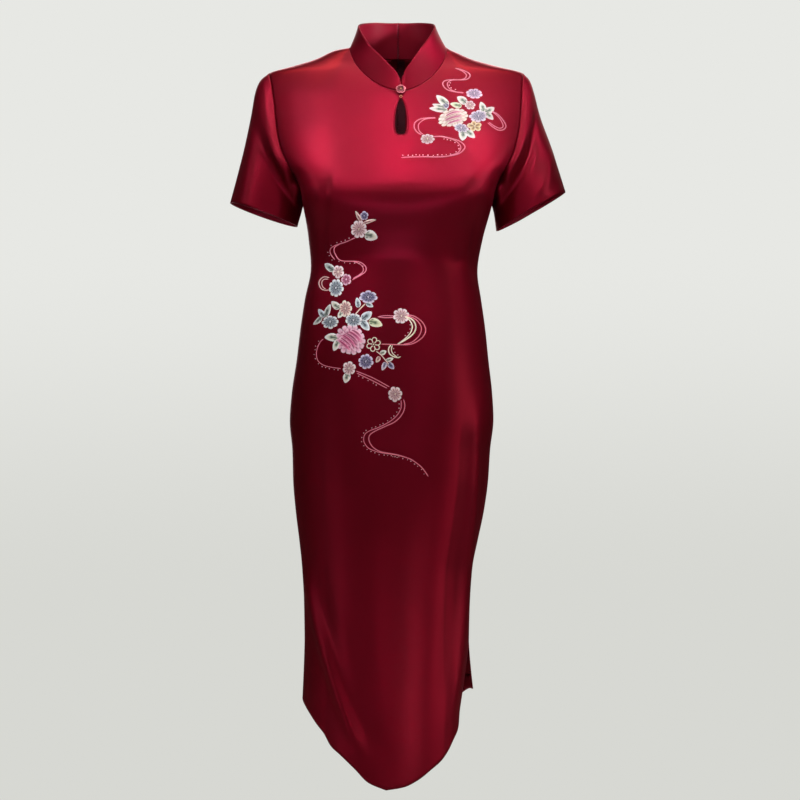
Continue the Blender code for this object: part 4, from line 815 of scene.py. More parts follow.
LEAVES = (
    Leaf(0.0588, -0.0662, 0.0764, -0.0831, 0.0133, "cream_leaf"),
    Leaf(0.0526, -0.0803, 0.0728, -0.0848, 0.0079, "cream_leaf"),
    Leaf(0.0480, -0.0869, 0.0756, -0.0894, 0.0106, "blush_leaf"),
    Leaf(0.0891, -0.0681, 0.1028, -0.0785, 0.0133, "cream_leaf"),
    Leaf(0.0787, -0.0793, 0.0961, -0.0830, 0.0098, "yellow_leaf"),
    Leaf(0.1237, -0.0749, 0.1274, -0.0912, 0.0116, "cream_leaf"),
    Leaf(0.1439, -0.0830, 0.1289, -0.0911, 0.0116, "blush_leaf"),
    Leaf(0.1416, -0.1027, 0.1304, -0.0923, 0.0106, "blush_leaf"),
    Leaf(0.0956, -0.1370, 0.0962, -0.1204, 0.0140, "cream_leaf"),
    Leaf(0.1141, -0.1324, 0.1012, -0.1211, 0.0115, "cream_leaf"),
    Leaf(-0.0260, -0.2778, -0.0449, -0.2728, 0.0166, "cream_leaf"),
    Leaf(-0.0576, -0.2403, -0.0490, -0.2556, 0.0059, "peach"),
    Leaf(-0.0278, -0.2527, -0.0476, -0.2580, 0.0052, "peach"),
    Leaf(-0.1043, -0.3106, -0.0899, -0.3226, 0.0116, "grey_leaf"),
    Leaf(-0.0564, -0.3622, -0.0539, -0.3771, 0.0088, "blue_leaf"),
    Leaf(-0.0325, -0.3760, -0.0429, -0.3712, 0.0079, "blue_leaf"),
    Leaf(-0.0949, -0.3709, -0.1021, -0.3896, 0.0098, "grey_leaf"),
    Leaf(-0.1131, -0.3773, -0.1021, -0.3893, 0.0098, "blue_leaf"),
    Leaf(-0.1211, -0.3999, -0.1074, -0.3886, 0.0085, "grey_leaf"),
    Leaf(-0.0936, -0.3670, -0.0807, -0.3778, 0.0115, "cream_leaf"),
    Leaf(-0.0836, -0.3915, -0.0777, -0.3815, 0.0088, "cream_leaf"),
    Leaf(-0.0344, -0.3831, -0.0494, -0.3942, 0.0137, "blue_leaf"),
    Leaf(-0.0382, -0.4101, -0.0494, -0.3957, 0.0129, "blue_leaf"),
    Leaf(-0.0190, -0.4031, -0.0393, -0.3965, 0.0140, "yellow_leaf"),
    Leaf(-0.1037, -0.4191, -0.0834, -0.4213, 0.0133, "cream_leaf"),
    Leaf(-0.0898, -0.4393, -0.0805, -0.4235, 0.0120, "cream_leaf"),
    Leaf(-0.0134, -0.4398, -0.0227, -0.4433, 0.0079, "cream_leaf"),
    Leaf(-0.0284, -0.4562, -0.0234, -0.4476, 0.0070, "peach"),
    Leaf(-0.0033, -0.4498, -0.0141, -0.4534, 0.0066, "cream_leaf"),
    Leaf(-0.0198, -0.4677, -0.0148, -0.4555, 0.0078, "lilac"),
    Leaf(-0.0026, -0.4656, -0.0112, -0.4570, 0.0088, "purple"),
    Leaf(-0.0731, -0.4856, -0.0687, -0.4712, 0.0123, "cream_leaf"),
)
Bloom = namedtuple("Bloom", "x z width height turn petals rounds thread")
BLOOMS = (
    Bloom(0.1144, -0.0624, 0.0262, 0.0172, 0, 8, 2, "lilac_pink"),
    Bloom(0.0726, -0.0824, 0.0101, 0.0101, 0, 5, 1, "purple"),
    Bloom(0.1078, -0.0809, 0.0164, 0.0148, 0, 6, 2, "blush"),
    Bloom(0.1198, -0.0981, 0.0287, 0.0194, 10, 8, 2, "lilac"),
    Bloom(0.0830, -0.1010, 0.0480, 0.0287, 18, 11, 3, "peach"),
    Bloom(0.1139, -0.1141, 0.0225, 0.0170, 0, 5, 1, "gold"),
    Bloom(0.0943, -0.1175, 0.0224, 0.0154, -15, 7, 2, "lilac"),
    Bloom(0.0454, -0.1348, 0.0215, 0.0162, 0, 8, 2, "blush"),
    Bloom(-0.0529, -0.2652, 0.0245, 0.0260, 0, 8, 2, "blush"),
    Bloom(-0.0449, -0.2471, 0.0122, 0.0129, 0, 5, 1, "purple"),
    Bloom(-0.0833, -0.3244, 0.0180, 0.0202, 0, 5, 1, "blush"),
    Bloom(-0.0715, -0.3359, 0.0155, 0.0180, 0, 5, 1, "rose"),
    Bloom(-0.0865, -0.3477, 0.0232, 0.0279, 0, 9, 2, "blue_grey"),
    Bloom(-0.0396, -0.3618, 0.0276, 0.0193, 0, 7, 2, "purple"),
    Bloom(-0.0948, -0.3971, 0.0263, 0.0201, 0, 8, 2, "blue_grey"),
    Bloom(-0.0726, -0.3781, 0.0201, 0.0247, 0, 7, 2, "peach"),
    Bloom(-0.0608, -0.3951, 0.0262, 0.0207, 0, 8, 2, "blue_grey"),
    Bloom(-0.0653, -0.4234, 0.0477, 0.0446, -42, 12, 3, "rose"),
    Bloom(-0.0429, -0.4548, 0.0230, 0.0230, 0, 8, 2, "purple"),
    Bloom(0.0080, -0.3892, 0.0246, 0.0239, 0, 8, 2, "blush"),
    Bloom(-0.0671, -0.4646, 0.0200, 0.0211, 0, 6, 2, "blush"),
    Bloom(-0.0010, -0.5017, 0.0219, 0.0230, 0, 7, 2, "blush"),
)
Cord = namedtuple("Cord", "thread radius bead_side bead_from bead_to path")
CORDS = (
    Cord("rose_cord", 0.00085, 0, 0, 0, (
        (0.0871, -0.0207), (0.0974, -0.0235), (0.1069, -0.0284), (0.1090, -0.0337),
        (0.1044, -0.0389), (0.0955, -0.0404), (0.0793, -0.0408), (0.0712, -0.0428),
        (0.0685, -0.0469), (0.0703, -0.0528), (0.0761, -0.0576), (0.0863, -0.0603),
        (0.0991, -0.0618),)),
    Cord("rose_cord", 0.00075, -1, 0.68, 0.97, (
        (0.0871, -0.0207), (0.0944, -0.0235), (0.1010, -0.0282), (0.1037, -0.0329),
        (0.1007, -0.0380), (0.0940, -0.0402), (0.0822, -0.0414), (0.0772, -0.0440),
        (0.0752, -0.0477), (0.0764, -0.0527), (0.0805, -0.0571), (0.0877, -0.0604),)),
    Cord("rose_cord", 0.00080, 0, 0, 0, (
        (0.1386, -0.0890), (0.1473, -0.0930), (0.1543, -0.1001), (0.1601, -0.1107),
        (0.1563, -0.1172), (0.1481, -0.1184), (0.1401, -0.1139), (0.1329, -0.1077),)),
    Cord("rose_cord", 0.00070, 0, 0, 0, (
        (0.1386, -0.0890), (0.1458, -0.0943), (0.1510, -0.1000), (0.1552, -0.1082),
        (0.1554, -0.1133), (0.1503, -0.1155), (0.1432, -0.1128), (0.1345, -0.1067),)),
    Cord("rose_cord", 0.00085, 0, 0, 0, (
        (0.0581, -0.1022), (0.0456, -0.1023), (0.0348, -0.1042), (0.0275, -0.1098),
        (0.0266, -0.1179), (0.0311, -0.1247), (0.0371, -0.1284),)),
    Cord("rose_cord", 0.00070, 0, 0, 0, (
        (0.0581, -0.1022), (0.0443, -0.1036), (0.0369, -0.1075), (0.0327, -0.1129),
        (0.0329, -0.1204), (0.0362, -0.1255), (0.0400, -0.1281),)),
    Cord("rose_cord", 0.00085, 1, 0.52, 0.99, (
        (0.0535, -0.1311), (0.0657, -0.1310), (0.0801, -0.1340), (0.0920, -0.1380),
        (0.0991, -0.1452), (0.0967, -0.1515), (0.0891, -0.1573), (0.0733, -0.1611),
        (0.0582, -0.1622), (0.0416, -0.1618), (0.0239, -0.1623), (0.0074, -0.1632),)),
    Cord("rose_cord", 0.00075, 1, 0.08, 0.85, (
        (0.0657, -0.1313), (0.0794, -0.1346), (0.0879, -0.1390), (0.0930, -0.1456),
        (0.0921, -0.1513), (0.0871, -0.1566), (0.0762, -0.1600),)),
    Cord("pink_cord", 0.00070, 1, 0.02, 0.97, (
        (-0.0575, -0.2766), (-0.0718, -0.2822), (-0.0895, -0.2871), (-0.0952, -0.2919),
        (-0.0943, -0.2986), (-0.0884, -0.3067),)),
    Cord("pink_cord", 0.00075, 1, 0.3, 0.72, (
        (-0.0806, -0.2848), (-0.0875, -0.2881), (-0.0896, -0.2926), (-0.0880, -0.2983),
        (-0.0827, -0.3061), (-0.0751, -0.3090), (-0.0615, -0.3098), (-0.0509, -0.3117),
        (-0.0436, -0.3178), (-0.0437, -0.3247), (-0.0508, -0.3300), (-0.0632, -0.3367),)),
    Cord("pink_cord", 0.00060, 0, 0, 0, (
        (-0.0615, -0.3098), (-0.0523, -0.3137), (-0.0474, -0.3190), (-0.0475, -0.3247),
        (-0.0526, -0.3295), (-0.0619, -0.3347),)),
    Cord("tan_cord", 0.00075, 0, 0, 0, (
        (-0.0967, -0.3322), (-0.1046, -0.3302), (-0.1104, -0.3336), (-0.1125, -0.3397),
        (-0.1093, -0.3471), (-0.1032, -0.3502), (-0.0966, -0.3502),)),
    Cord("tan_cord", 0.00065, 0, 0, 0, (
        (-0.0979, -0.3342), (-0.1049, -0.3340), (-0.1082, -0.3385), (-0.1066, -0.3449),
        (-0.1017, -0.3491),)),
    Cord("pink_cord", 0.00060, 0, 0, 0, (
        (-0.0262, -0.3905), (-0.0155, -0.3889), (-0.0012, -0.3894),)),
    Cord("pink_cord", 0.00060, 0, 0, 0, (
        (-0.0262, -0.3905), (-0.0155, -0.3918), (-0.0012, -0.3914),)),
    Cord("bright_cord", 0.00080, 0, 0, 0, (
        (0.0117, -0.3879), (0.0189, -0.3879), (0.0281, -0.3904), (0.0382, -0.3982),
        (0.0429, -0.4089), (0.0387, -0.4195), (0.0268, -0.4281), (0.0156, -0.4307),
        (0.0017, -0.4306), (-0.0212, -0.4298),)),
    Cord("bright_cord", 0.00075, 0, 0, 0, (
        (0.0117, -0.3891), (0.0196, -0.3899), (0.0296, -0.3950), (0.0359, -0.4037),
        (0.0362, -0.4115), (0.0318, -0.4198), (0.0225, -0.4272), (0.0103, -0.4304),)),
    Cord("cream_cord", 0.00100, 0, 0, 0, (
        (0.0117, -0.3899), (0.0198, -0.3922), (0.0260, -0.3971), (0.0288, -0.4056),
        (0.0254, -0.4143), (0.0156, -0.4225), (0.0017, -0.4306),)),
    Cord("cream_cord", 0.00085, 1, 0.3, 0.8, (
        (0.0117, -0.3908), (0.0173, -0.3931), (0.0218, -0.3986), (0.0237, -0.4056),
        (0.0204, -0.4143), (0.0120, -0.4231), (0.0017, -0.4306),)),
    Cord("cream_cord", 0.00085, 0, 0, 0, (
        (-0.0069, -0.4309), (-0.0103, -0.4363), (-0.0093, -0.4432), (-0.0040, -0.4475),
        (0.0031, -0.4492), (0.0071, -0.4475),)),
    Cord("cream_cord", 0.00070, -1, 0.25, 0.95, (
        (-0.0049, -0.4309), (-0.0063, -0.4383), (-0.0037, -0.4441), (0.0023, -0.4487),)),
    Cord("pink_cord", 0.00060, 1, 0.1, 0.98, (
        (-0.1048, -0.4213), (-0.1095, -0.4255), (-0.1140, -0.4343), (-0.1155, -0.4430),
        (-0.1136, -0.4519), (-0.1073, -0.4582), (-0.0965, -0.4621), (-0.0786, -0.4650),)),
    Cord("pink_cord", 0.00065, 0, 0, 0, (
        (-0.0575, -0.4682), (-0.0331, -0.4782), (-0.0088, -0.4914),)),
    Cord("pink_cord", 0.00065, 1, 0.1, 0.75, (
        (-0.0564, -0.4712), (-0.0331, -0.4825), (-0.0122, -0.4934),)),
    Cord("pink_cord", 0.00075, 1, 0.66, 0.98, (
        (0.0112, -0.5087), (0.0129, -0.5190), (0.0090, -0.5305), (-0.0006, -0.5407),
        (-0.0135, -0.5471), (-0.0276, -0.5536), (-0.0365, -0.5592), (-0.0388, -0.5658),
        (-0.0360, -0.5736), (-0.0293, -0.5805), (-0.0185, -0.5850), (0.0018, -0.5886),
        (0.0160, -0.5930), (0.0250, -0.5972), (0.0378, -0.6076), (0.0470, -0.6205),)),
    Cord("pink_cord", 0.00065, 1, 0.04, 0.92, (
        (0.0076, -0.5100), (0.0077, -0.5164), (0.0070, -0.5228), (0.0018, -0.5318),
        (-0.0083, -0.5407), (-0.0237, -0.5488), (-0.0377, -0.5543), (-0.0442, -0.5592),
        (-0.0462, -0.5658), (-0.0448, -0.5720), (-0.0391, -0.5792), (-0.0289, -0.5836),
        (-0.0185, -0.5861), (0.0018, -0.5892), (0.0146, -0.5927),)),
    Cord("peach_cord", 0.00085, 0, 0, 0, (
        (-0.0588, -0.3873), (-0.0516, -0.3790), (-0.0435, -0.3709),)),
    Cord("peach_cord", 0.00070, 0, 0, 0, (
        (-0.0284, -0.4397), (-0.0198, -0.4469), (-0.0090, -0.4606),)),
)
EYELET_BLOOM, EYELET_LOOPS, EYELET_TURN = (-0.0319, -0.4302, 0.0200), 6, 20.0
EYELET_CORD, EYELET_KNOTS, EYELET_KNOT_TURN = 0.00072, 4, 1.6
EYELET_KNOT_REACH, EYELET_KNOT_HEIGHT = 0.0007, 0.0008
EYELET_LOOP = ((0.10, 0.02), (0.26, 0.15), (0.43, 0.13), (0.50, 0.0),
               (0.43, -0.13), (0.26, -0.15), (0.10, -0.02))
PETAL_STEPS, PETAL_ROWS, SCALLOP = 8, 8, 0.17
STITCH_ROWS, STITCH_COLUMNS, LEAF_POINT, LEAF_RISE = 10, 8, (0.55, 0.85), 0.0006
TUCK, BLUNT, THREAD_SHADES = -0.00015, 0.08, (0.94, 1.06)
PETAL_SIZES, PETAL_SHADES = (0.93, 1.05), (0.90, 1.06)
GOLD_TURN, GOLD_REACH, GOLD_WIDTH, GOLD_POINT = 100.0, (0.08, 1.0), 0.38, (0.70, 0.62)
STREAKS, STREAK_SPACING = (-2.5, -1.5, -0.5, 0.5, 1.5, 2.5), 0.105
STREAK_WIDTH, STREAK_POINT, STREAK_LIFT, STREAK_RISE = 0.125, (0.5, 0.6), 0.0008, 0.0004
KNOT_RADIUS, KNOT_HEIGHT, KNOT_SPREAD, KNOT_TURN = 0.00065, 0.0011, 0.030, 2.4
CORD_STEP, CORD_SIDES, CORD_FLATNESS, CORD_SINK = 0.0007, 4, 0.8, 0.00006
TWIST_LENGTH, TWIST_SWELL, CURVE_STEPS = 0.0026, 0.14, 40
BEAD_RADIUS, BEAD_SPACING, BEAD_OFFSET, BEAD_SEAT = 0.00075, 0.0066, 0.0028, 0.55

# Stitches, knots and beads find their height on the front panel's outer face. The needle
# gives the small unevenness of handwork, the same each time.
front_skin = BVHTree.FromPolygons([vert.co for vert in front_panel.data.vertices],
                                  [face.vertices for face in front_panel.data.polygons])
NEEDLE_SEED = 11
needle = random.Random(NEEDLE_SEED)


def on_satin(x, z, height):
    """The point that stands this far off the front panel, seen from straight in front."""
    place, normal = front_skin.ray_cast(Vector((x, -1.0, z)), Vector((0.0, 1.0, 0.0)))[:2]
    return place + normal * height if normal.y < 0.0 else place - normal * height


def dye(colour, shade=1.0):
    """Turn a thread chart's colour into light, a shade lighter or darker."""
    return [min(1.0, ((value / 255.0) ** 2.2) * shade) for value in colour]


def face_out(bm, verts, place):
    """Turn the faces of one laid strip or bed to the front and mark its stitches' pattern."""
    faces = list({face for vert in verts for face in vert.link_faces})
    for face in faces:
        face.normal_update()
    if sum(face.normal.y for face in faces) > 0.0:
        bmesh.ops.reverse_faces(bm, faces=faces)
    mark_pattern(faces, bm.loops.layers.uv["stitch"], place)


def tones(thread, shade=1.0):
    """A thread's edge, body and heart as light."""
    return [np.array(dye(colour, shade)) for colour in THREADS[thread]]


def on_bloom(bloom, a, b):
    """A flower's own point, from its middle along its two axes, as a place on the panel."""
    turn = math.radians(bloom.turn)
    return (bloom.x + a * math.cos(turn) - b * math.sin(turn),
            bloom.z + a * math.sin(turn) + b * math.cos(turn))


def stitch_bed(bm, foot, tip, width, point, lift, rise, thread, veins, bend=0.0):
    """Lay one raised petal or leaf on the cloth, from its foot to its tip."""
    tint = bm.verts.layers.float_color["thread"]
    foot, tip = np.array(foot), np.array(tip)
    along = tip - foot
    length = np.linalg.norm(along)
    aside = np.array((-along[1], along[0])) / length
    peak = point[0] / (point[0] + point[1])
    full = peak ** point[0] * (1.0 - peak) ** point[1]
    shade = needle.uniform(*THREAD_SHADES)
    edge, body, heart = tones(thread, shade)
    bed = bmesh.ops.create_grid(bm, x_segments=STITCH_COLUMNS, y_segments=STITCH_ROWS, size=0.5)
    place = {}
    for vert in bed["verts"]:
        s, t = vert.co.x * 2.0, (1.0 - math.cos(math.pi * (vert.co.y + 0.5))) / 2.0
        wide = BLUNT + (1.0 - BLUNT) * t ** point[0] * (1.0 - t) ** point[1] / full
        x, z = foot + along * t + aside * (s * wide * width / 2.0
                                           + bend * length * 4.0 * t * (1.0 - t))
        dome = (1.0 - abs(s) ** 2.4) * (1.0 - abs(2.0 * t - 1.0) ** 5)
        if veins:
            dome -= 0.35 * max(0.0, 1.0 - abs(s) / 0.2) * (t < 0.85)
        rim = TUCK if lift == 0.0 else lift * 0.5
        place[vert] = (t * length + abs(s) * width * 0.35, s * width * 0.5)
        # Pale stitches edge the sides and the tip; dark ones follow the vein and its branches.
        pale = max(float(ease((abs(s) - 0.45) / 0.40)), float(ease((t - 0.74) / 0.2)))
        vein = max(0.0, 1.0 - abs(s) / 0.42) * float(ease((0.80 - t) / 0.4))
        side_vein = (max(0.0, math.sin(t * 17.0 - abs(s) * 4.0)) ** 3
                     * (abs(s) < 0.70) * float(ease((0.72 - t) / 0.2))) if veins else 0.0
        dark = max(1.15 * vein, side_vein) * float(ease(t / 0.08))
        colour = body + (edge - body) * pale
        colour = colour + (heart - colour) * min(1.0, dark)
        vert[tint] = (*colour, 1.0)
        vert.co = on_satin(x, z, rim + (lift - rim + rise) * max(dome, 0.0))
    face_out(bm, bed["verts"], place)


def stitch_round(bm, bloom, reach, petals, lift, rise, thread, strokes):
    """Lay one round of petals as a scalloped bed, each petal plump, from the heart out."""
    tint = bm.verts.layers.float_color["thread"]
    start = needle.uniform(0.0, 2.0 * math.pi / petals)
    sizes = [needle.uniform(*PETAL_SIZES) for _ in range(petals)]
    shades = [needle.uniform(*PETAL_SHADES) for _ in range(petals)]
    edge, body, heart = tones(thread)
    bed = bmesh.ops.create_grid(bm, x_segments=petals * PETAL_STEPS, y_segments=PETAL_ROWS,
                                size=0.5)
    place = {}
    for vert in bed["verts"]:
        around, t = min(max(vert.co.x + 0.5, 0.0), 1.0) * petals, vert.co.y + 0.5
        k = int(round(around * PETAL_STEPS)) // PETAL_STEPS
        phase = abs(2.0 * (around - k) - 1.0)
        k %= petals
        notch = 1.0 - SCALLOP * phase ** 2.5 * t * (0.6 if bloom.rounds == 3 else 1.0)
        size = 1.0 + (sizes[k] - 1.0) * (1.0 - phase)
        share = reach * t * notch * size
        angle = start + 2.0 * math.pi * around / petals
        x, z = on_bloom(bloom, bloom.width / 2.0 * share * math.cos(angle),
                        bloom.height / 2.0 * share * math.sin(angle))
        plump = (1.0 - 0.55 * phase ** 3 * float(ease(t / 0.5))) * (1.0 - t ** 7)
        rim = TUCK if lift == 0.0 else lift * 0.4
        # A pale rim, dark straight stitches out from the heart, and painted shade where petals
        # meet.
        pale = float(ease((t - 0.60) / 0.25))
        middle = max(0.0, 1.0 - phase / 0.50) * float(ease((0.80 - t) / 0.20))
        beside = max(0.0, 1.0 - abs(phase - 0.62) / 0.30) * float(ease((0.60 - t) / 0.2))
        gap = 0.75 * max(0.0, (phase - 0.66) / 0.34) * float(ease(t / 0.4))
        dark = max(strokes * max(middle, 0.9 * beside) * float(ease((t - 0.06) / 0.10)), gap,
                   0.55 * (strokes - 1.0) / 0.4 if strokes > 1.0 else 0.0)
        colour = (body + (edge - body) * pale) * shades[k]
        colour = colour + (heart - colour) * min(1.0, dark)
        vert[tint] = (*np.minimum(colour, 1.0), 1.0)
        place[vert] = (angle * bloom.width * 0.3, t * bloom.width * 0.5)
        vert.co = on_satin(x, z, rim + (lift - rim + rise) * plump)
    face_out(bm, bed["verts"], place)


def stitch_knot(bm, x, z, height, radius, colour):
    """Set one knot of thread, or one glass bead, on the cloth."""
    tint = bm.verts.layers.float_color["thread"]
    ball = bmesh.ops.create_uvsphere(bm, u_segments=8, v_segments=5, radius=radius)
    centre = on_satin(x, z, height)
    for vert in ball["verts"]:
        vert.co += centre
        vert[tint] = (*colour, 1.0)


def stitch_bloom(bm, bloom):
    """Rounds of petals on each other, with knots or long curved stitches at the heart."""
    if bloom.thread == "gold":
        for k in range(bloom.petals):
            angle = math.radians(GOLD_TURN) + 2.0 * math.pi * k / bloom.petals
            foot, tip = (on_bloom(bloom, bloom.width / 2.0 * share * math.cos(angle),
                                  bloom.height / 2.0 * share * math.sin(angle))
                         for share in GOLD_REACH)
            stitch_bed(bm, foot, tip, bloom.width * GOLD_WIDTH, GOLD_POINT, 0.0, LEAF_RISE,
                       "gold", False)
    elif bloom.rounds == 3:
        stitch_round(bm, bloom, 1.00, bloom.petals + 3, 0.0, 0.00055, bloom.thread, 0.6)
        stitch_round(bm, bloom, 0.78, bloom.petals, 0.00030, 0.00045, bloom.thread, 1.0)
        for k, lean in enumerate(STREAKS):
            aside = lean * STREAK_SPACING * bloom.height
            near, far = 0.60 - abs(lean + 0.8) * 0.07, 0.66 - abs(lean - 0.8) * 0.07
            foot, tip = (on_bloom(bloom, reach * bloom.width / 2.0, aside)
                         for reach in (-near, far))
            stitch_bed(bm, foot, tip, bloom.height * STREAK_WIDTH, STREAK_POINT, STREAK_LIFT,
                       STREAK_RISE, "rose_streak" if k % 2 == 0 else bloom.thread, False,
                       0.10 if lean > 0.0 else 0.05)
        return
    else:
        stitch_round(bm, bloom, 1.00, bloom.petals, 0.0, 0.0006, bloom.thread, 1.0)
        if bloom.rounds == 2:
            stitch_round(bm, bloom, 0.42, 4, 0.00040, 0.00045, bloom.thread, 1.4)
    knots = "gold" if bloom.thread in ("blush", "peach", "gold") else bloom.thread
    for k in range(2 if bloom.width < 0.015 else 4):
        angle = KNOT_TURN * k
        out = bloom.width * KNOT_SPREAD * k ** 0.5
        stitch_knot(bm, bloom.x + out * math.cos(angle), bloom.z + out * math.sin(angle),
                    KNOT_HEIGHT, KNOT_RADIUS, dye(THREADS[knots].edge))


def thread_material(name, roughness, glint):
    """Stranded viscose in its threads' colours: glossy raised strands with painted shade between.
    """
    material, tree, shader = new_material(name, Roughness=roughness, Sheen_Weight=glint,
                                          Sheen_Roughness=0.3)
    tint = add_node(tree, "ShaderNodeAttribute")
    tint.attribute_name = "thread"
    lay = add_node(tree, "ShaderNodeUVMap")
    lay.uv_map = "stitch"
    strands = add_node(tree, "ShaderNodeTexWave", {"Vector": lay.outputs["UV"]},
                       Scale=620.0, Distortion=1.2, Detail=1.0)
    strands.bands_direction = "X"
    # The strands' colour darkens towards their furrows: a painted shade that follows their
    # relief.
    shade = between(tree, strands.outputs["Fac"], 0.88, 1.0)
    dyed_and_shaded = add_node(tree, "ShaderNodeMix")
    dyed_and_shaded.data_type, dyed_and_shaded.blend_type = "RGBA", "MULTIPLY"
    dyed_and_shaded.inputs["Factor"].default_value = 1.0
    tree.links.new(tint.outputs["Color"], dyed_and_shaded.inputs["A"])
    tree.links.new(shade.outputs["Result"], dyed_and_shaded.inputs["B"])
    feed(tree, shader, Base_Color=dyed_and_shaded.outputs["Result"],
         Normal=relief(tree, strands.outputs["Fac"], 0.4, 0.00015))
    return material


viscose = thread_material("embroidery_viscose", 0.45, 0.30)
# Small pink beads with a soft gloss; their tone differs a little from batch to batch.
bead_glass, tree, shader = new_material("bead_glass", Roughness=0.35, Coat_Weight=0.3,
                                        Coat_Roughness=0.05)
batch = object_texture(tree, "ShaderNodeTexNoise", Scale=140.0)
feed(tree, shader, Base_Color=two_tones(tree, batch.outputs["Fac"], (0.95, 0.30, 0.38),
                                        (1.0, 0.62, 0.64)))
# The last of these darkens the shoulder spray's thread colours: painted shade where the lamps
# fall strongest.
THREAD_WELD, SPRAY_SPLIT_Z, SHOULDER_PAINTED_SHADE = 0.000004, -0.20, 0.57


def stitched_piece(name, stitch, material, depth=1.0):
    """Run the stitching of one spray into a mesh of its own; depth darkens its thread colours, a
    painted shade.
    """
    bm = bmesh.new()
    bm.verts.layers.float_color.new("thread")
    bm.loops.layers.uv.new("stitch")
    stitch(bm)
    bmesh.ops.remove_doubles(bm, verts=bm.verts, dist=THREAD_WELD)
    tint = bm.verts.layers.float_color["thread"]
    for vert in bm.verts:
        vert[tint] = (*(value * depth for value in vert[tint][:3]), 1.0)
    piece = finished_piece(name, bm, material)
    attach(piece, "dress")


def smooth_path(path, step):
    """Points at even steps on a curve that runs through every given point."""
    path = np.array(path)
    if len(path) == 2:
        path = np.array((path[0], path.mean(axis=0), path[1]))
    ends = np.concatenate((2 * path[:1] - path[1:2], path, 2 * path[-1:] - path[-2:-1]))
    t = np.linspace(0.0, 1.0, CURVE_STEPS, endpoint=False)[:, None]
    runs = []
    for a, b, c, d in zip(ends[:-3], ends[1:-2], ends[2:-1], ends[3:]):
        runs.append(0.5 * (2 * b + (c - a) * t + (2 * a - 5 * b + 4 * c - d) * t ** 2
                           + (3 * b - a - 3 * c + d) * t ** 3))
    dense = np.concatenate(runs + [path[-1:]])
    count = max(4, int(reach_along(dense)[-1] / step))
    return evenly(dense, np.linspace(0.0, 1.0, count + 1))


def headings(path):
    """The unit direction of a path at each of its points."""
    heading = np.gradient(path, axis=0)
    return heading / np.linalg.norm(heading, axis=1, keepdims=True)


def lay_cord(bm, cord):
    """Couch one corded line along its path; its ends sink into the cloth."""
    tint = bm.verts.layers.float_color["thread"]
    path = smooth_path(cord.path, CORD_STEP)
    heading = headings(path)
    strip = bmesh.ops.create_grid(bm, x_segments=CORD_SIDES, y_segments=len(path) - 1, size=0.5)
    edge, body = tones(cord.thread)[:2]
    place = {}
    for index, vert in enumerate(strip["verts"]):
        k, column = divmod(index, CORD_SIDES + 1)
        turn = math.pi * column / CORD_SIDES
        twist = 2.0 * math.pi * k * CORD_STEP / TWIST_LENGTH + turn
        taper = min(1.0, (k + 0.3) / 3.0, (len(path) - 0.7 - k) / 3.0)
        reach = cord.radius * (1.0 + TWIST_SWELL * math.sin(twist)) * taper
        off = np.array((-heading[k][1], heading[k][0])) * math.cos(turn) * reach
        height = math.sin(turn) * reach * CORD_FLATNESS - CORD_SINK
        place[vert] = (k * CORD_STEP + column * 0.0006, column * 0.0004)
        # The cord's crown takes the paler edge tone and its flanks the body tone: a painted
        # highlight along its top.
        colour = body + (edge - body) * math.sin(turn)
        vert[tint] = (*colour, 1.0)
        vert.co = on_satin(*(path[k] + off), height)
    face_out(bm, strip["verts"], place)


def set_beads(bm, cord):
    """Sew a spaced row of beads beside a cord."""
    path = smooth_path(cord.path, CORD_STEP)
    heading = headings(path)
    total = len(path) * CORD_STEP
    at = cord.bead_from * total
    while at < cord.bead_to * total:
        k = min(int(at / CORD_STEP), len(path) - 1)
        aside = np.array((-heading[k][1], heading[k][0])) * cord.bead_side
        x, z = path[k] - aside * BEAD_OFFSET * needle.uniform(0.75, 1.15)
        radius = BEAD_RADIUS * needle.uniform(0.85, 1.2)
        stitch_knot(bm, x, z, radius * BEAD_SEAT, radius, (1.0, 1.0, 1.0))
        at += BEAD_SPACING * needle.uniform(0.7, 1.3)


def stitch_eyelet_bloom(bm):
    """A flower in outline: open loops of cord round a knotted heart."""
    x, z, across = EYELET_BLOOM
    for k in range(EYELET_LOOPS):
        angle = math.radians(EYELET_TURN) + 2.0 * math.pi * k / EYELET_LOOPS
        out = np.array((math.cos(angle), math.sin(angle)))
        aside = np.array((-math.sin(angle), math.cos(angle)))
        loop = [np.array((x, z)) + out * across * reach + aside * across * side
                for reach, side in EYELET_LOOP]
        lay_cord(bm, Cord("cream_cord", EYELET_CORD, 0, 0, 0, loop))
    for k in range(EYELET_KNOTS):
        angle = EYELET_KNOT_TURN * k
        stitch_knot(bm, x + EYELET_KNOT_REACH * math.cos(angle),
                    z + EYELET_KNOT_REACH * math.sin(angle), EYELET_KNOT_HEIGHT,
                    KNOT_RADIUS, dye(THREADS["gold"].edge))


for spray, above in (("shoulder", True), ("long", False)):
    def stitch_flowers(bm):
        for leaf in LEAVES:
            if (leaf.tip_z > SPRAY_SPLIT_Z) == above:
                stitch_bed(bm, (leaf.foot_x, leaf.foot_z), (leaf.tip_x, leaf.tip_z), leaf.width,
                           LEAF_POINT, 0.0, LEAF_RISE, leaf.thread, True,
                           needle.uniform(-0.06, 0.06))
        for bloom in BLOOMS:
            if (bloom.z > SPRAY_SPLIT_Z) == above:
                stitch_bloom(bm, bloom)

    def stitch_lines(bm):
        for cord in CORDS:
            if (cord.path[0][1] > SPRAY_SPLIT_Z) == above:
                lay_cord(bm, cord)
        if not above:
            stitch_eyelet_bloom(bm)

    def sew_beads(bm):
        for cord in CORDS:
            if (cord.path[0][1] > SPRAY_SPLIT_Z) == above and cord.bead_side:
                set_beads(bm, cord)

    # The shoulder spray's thread colours are scaled down, a painted shade against the strong
    # light there.
    depth = SHOULDER_PAINTED_SHADE if above else 1.0
    stitched_piece(f"embroidered_flowers_{spray}", stitch_flowers, viscose,
                   depth)
    stitched_piece(f"embroidered_scrolls_{spray}", stitch_lines, viscose,
                   depth)
    stitched_piece(f"glass_beads_{spray}", sew_beads, bead_glass)

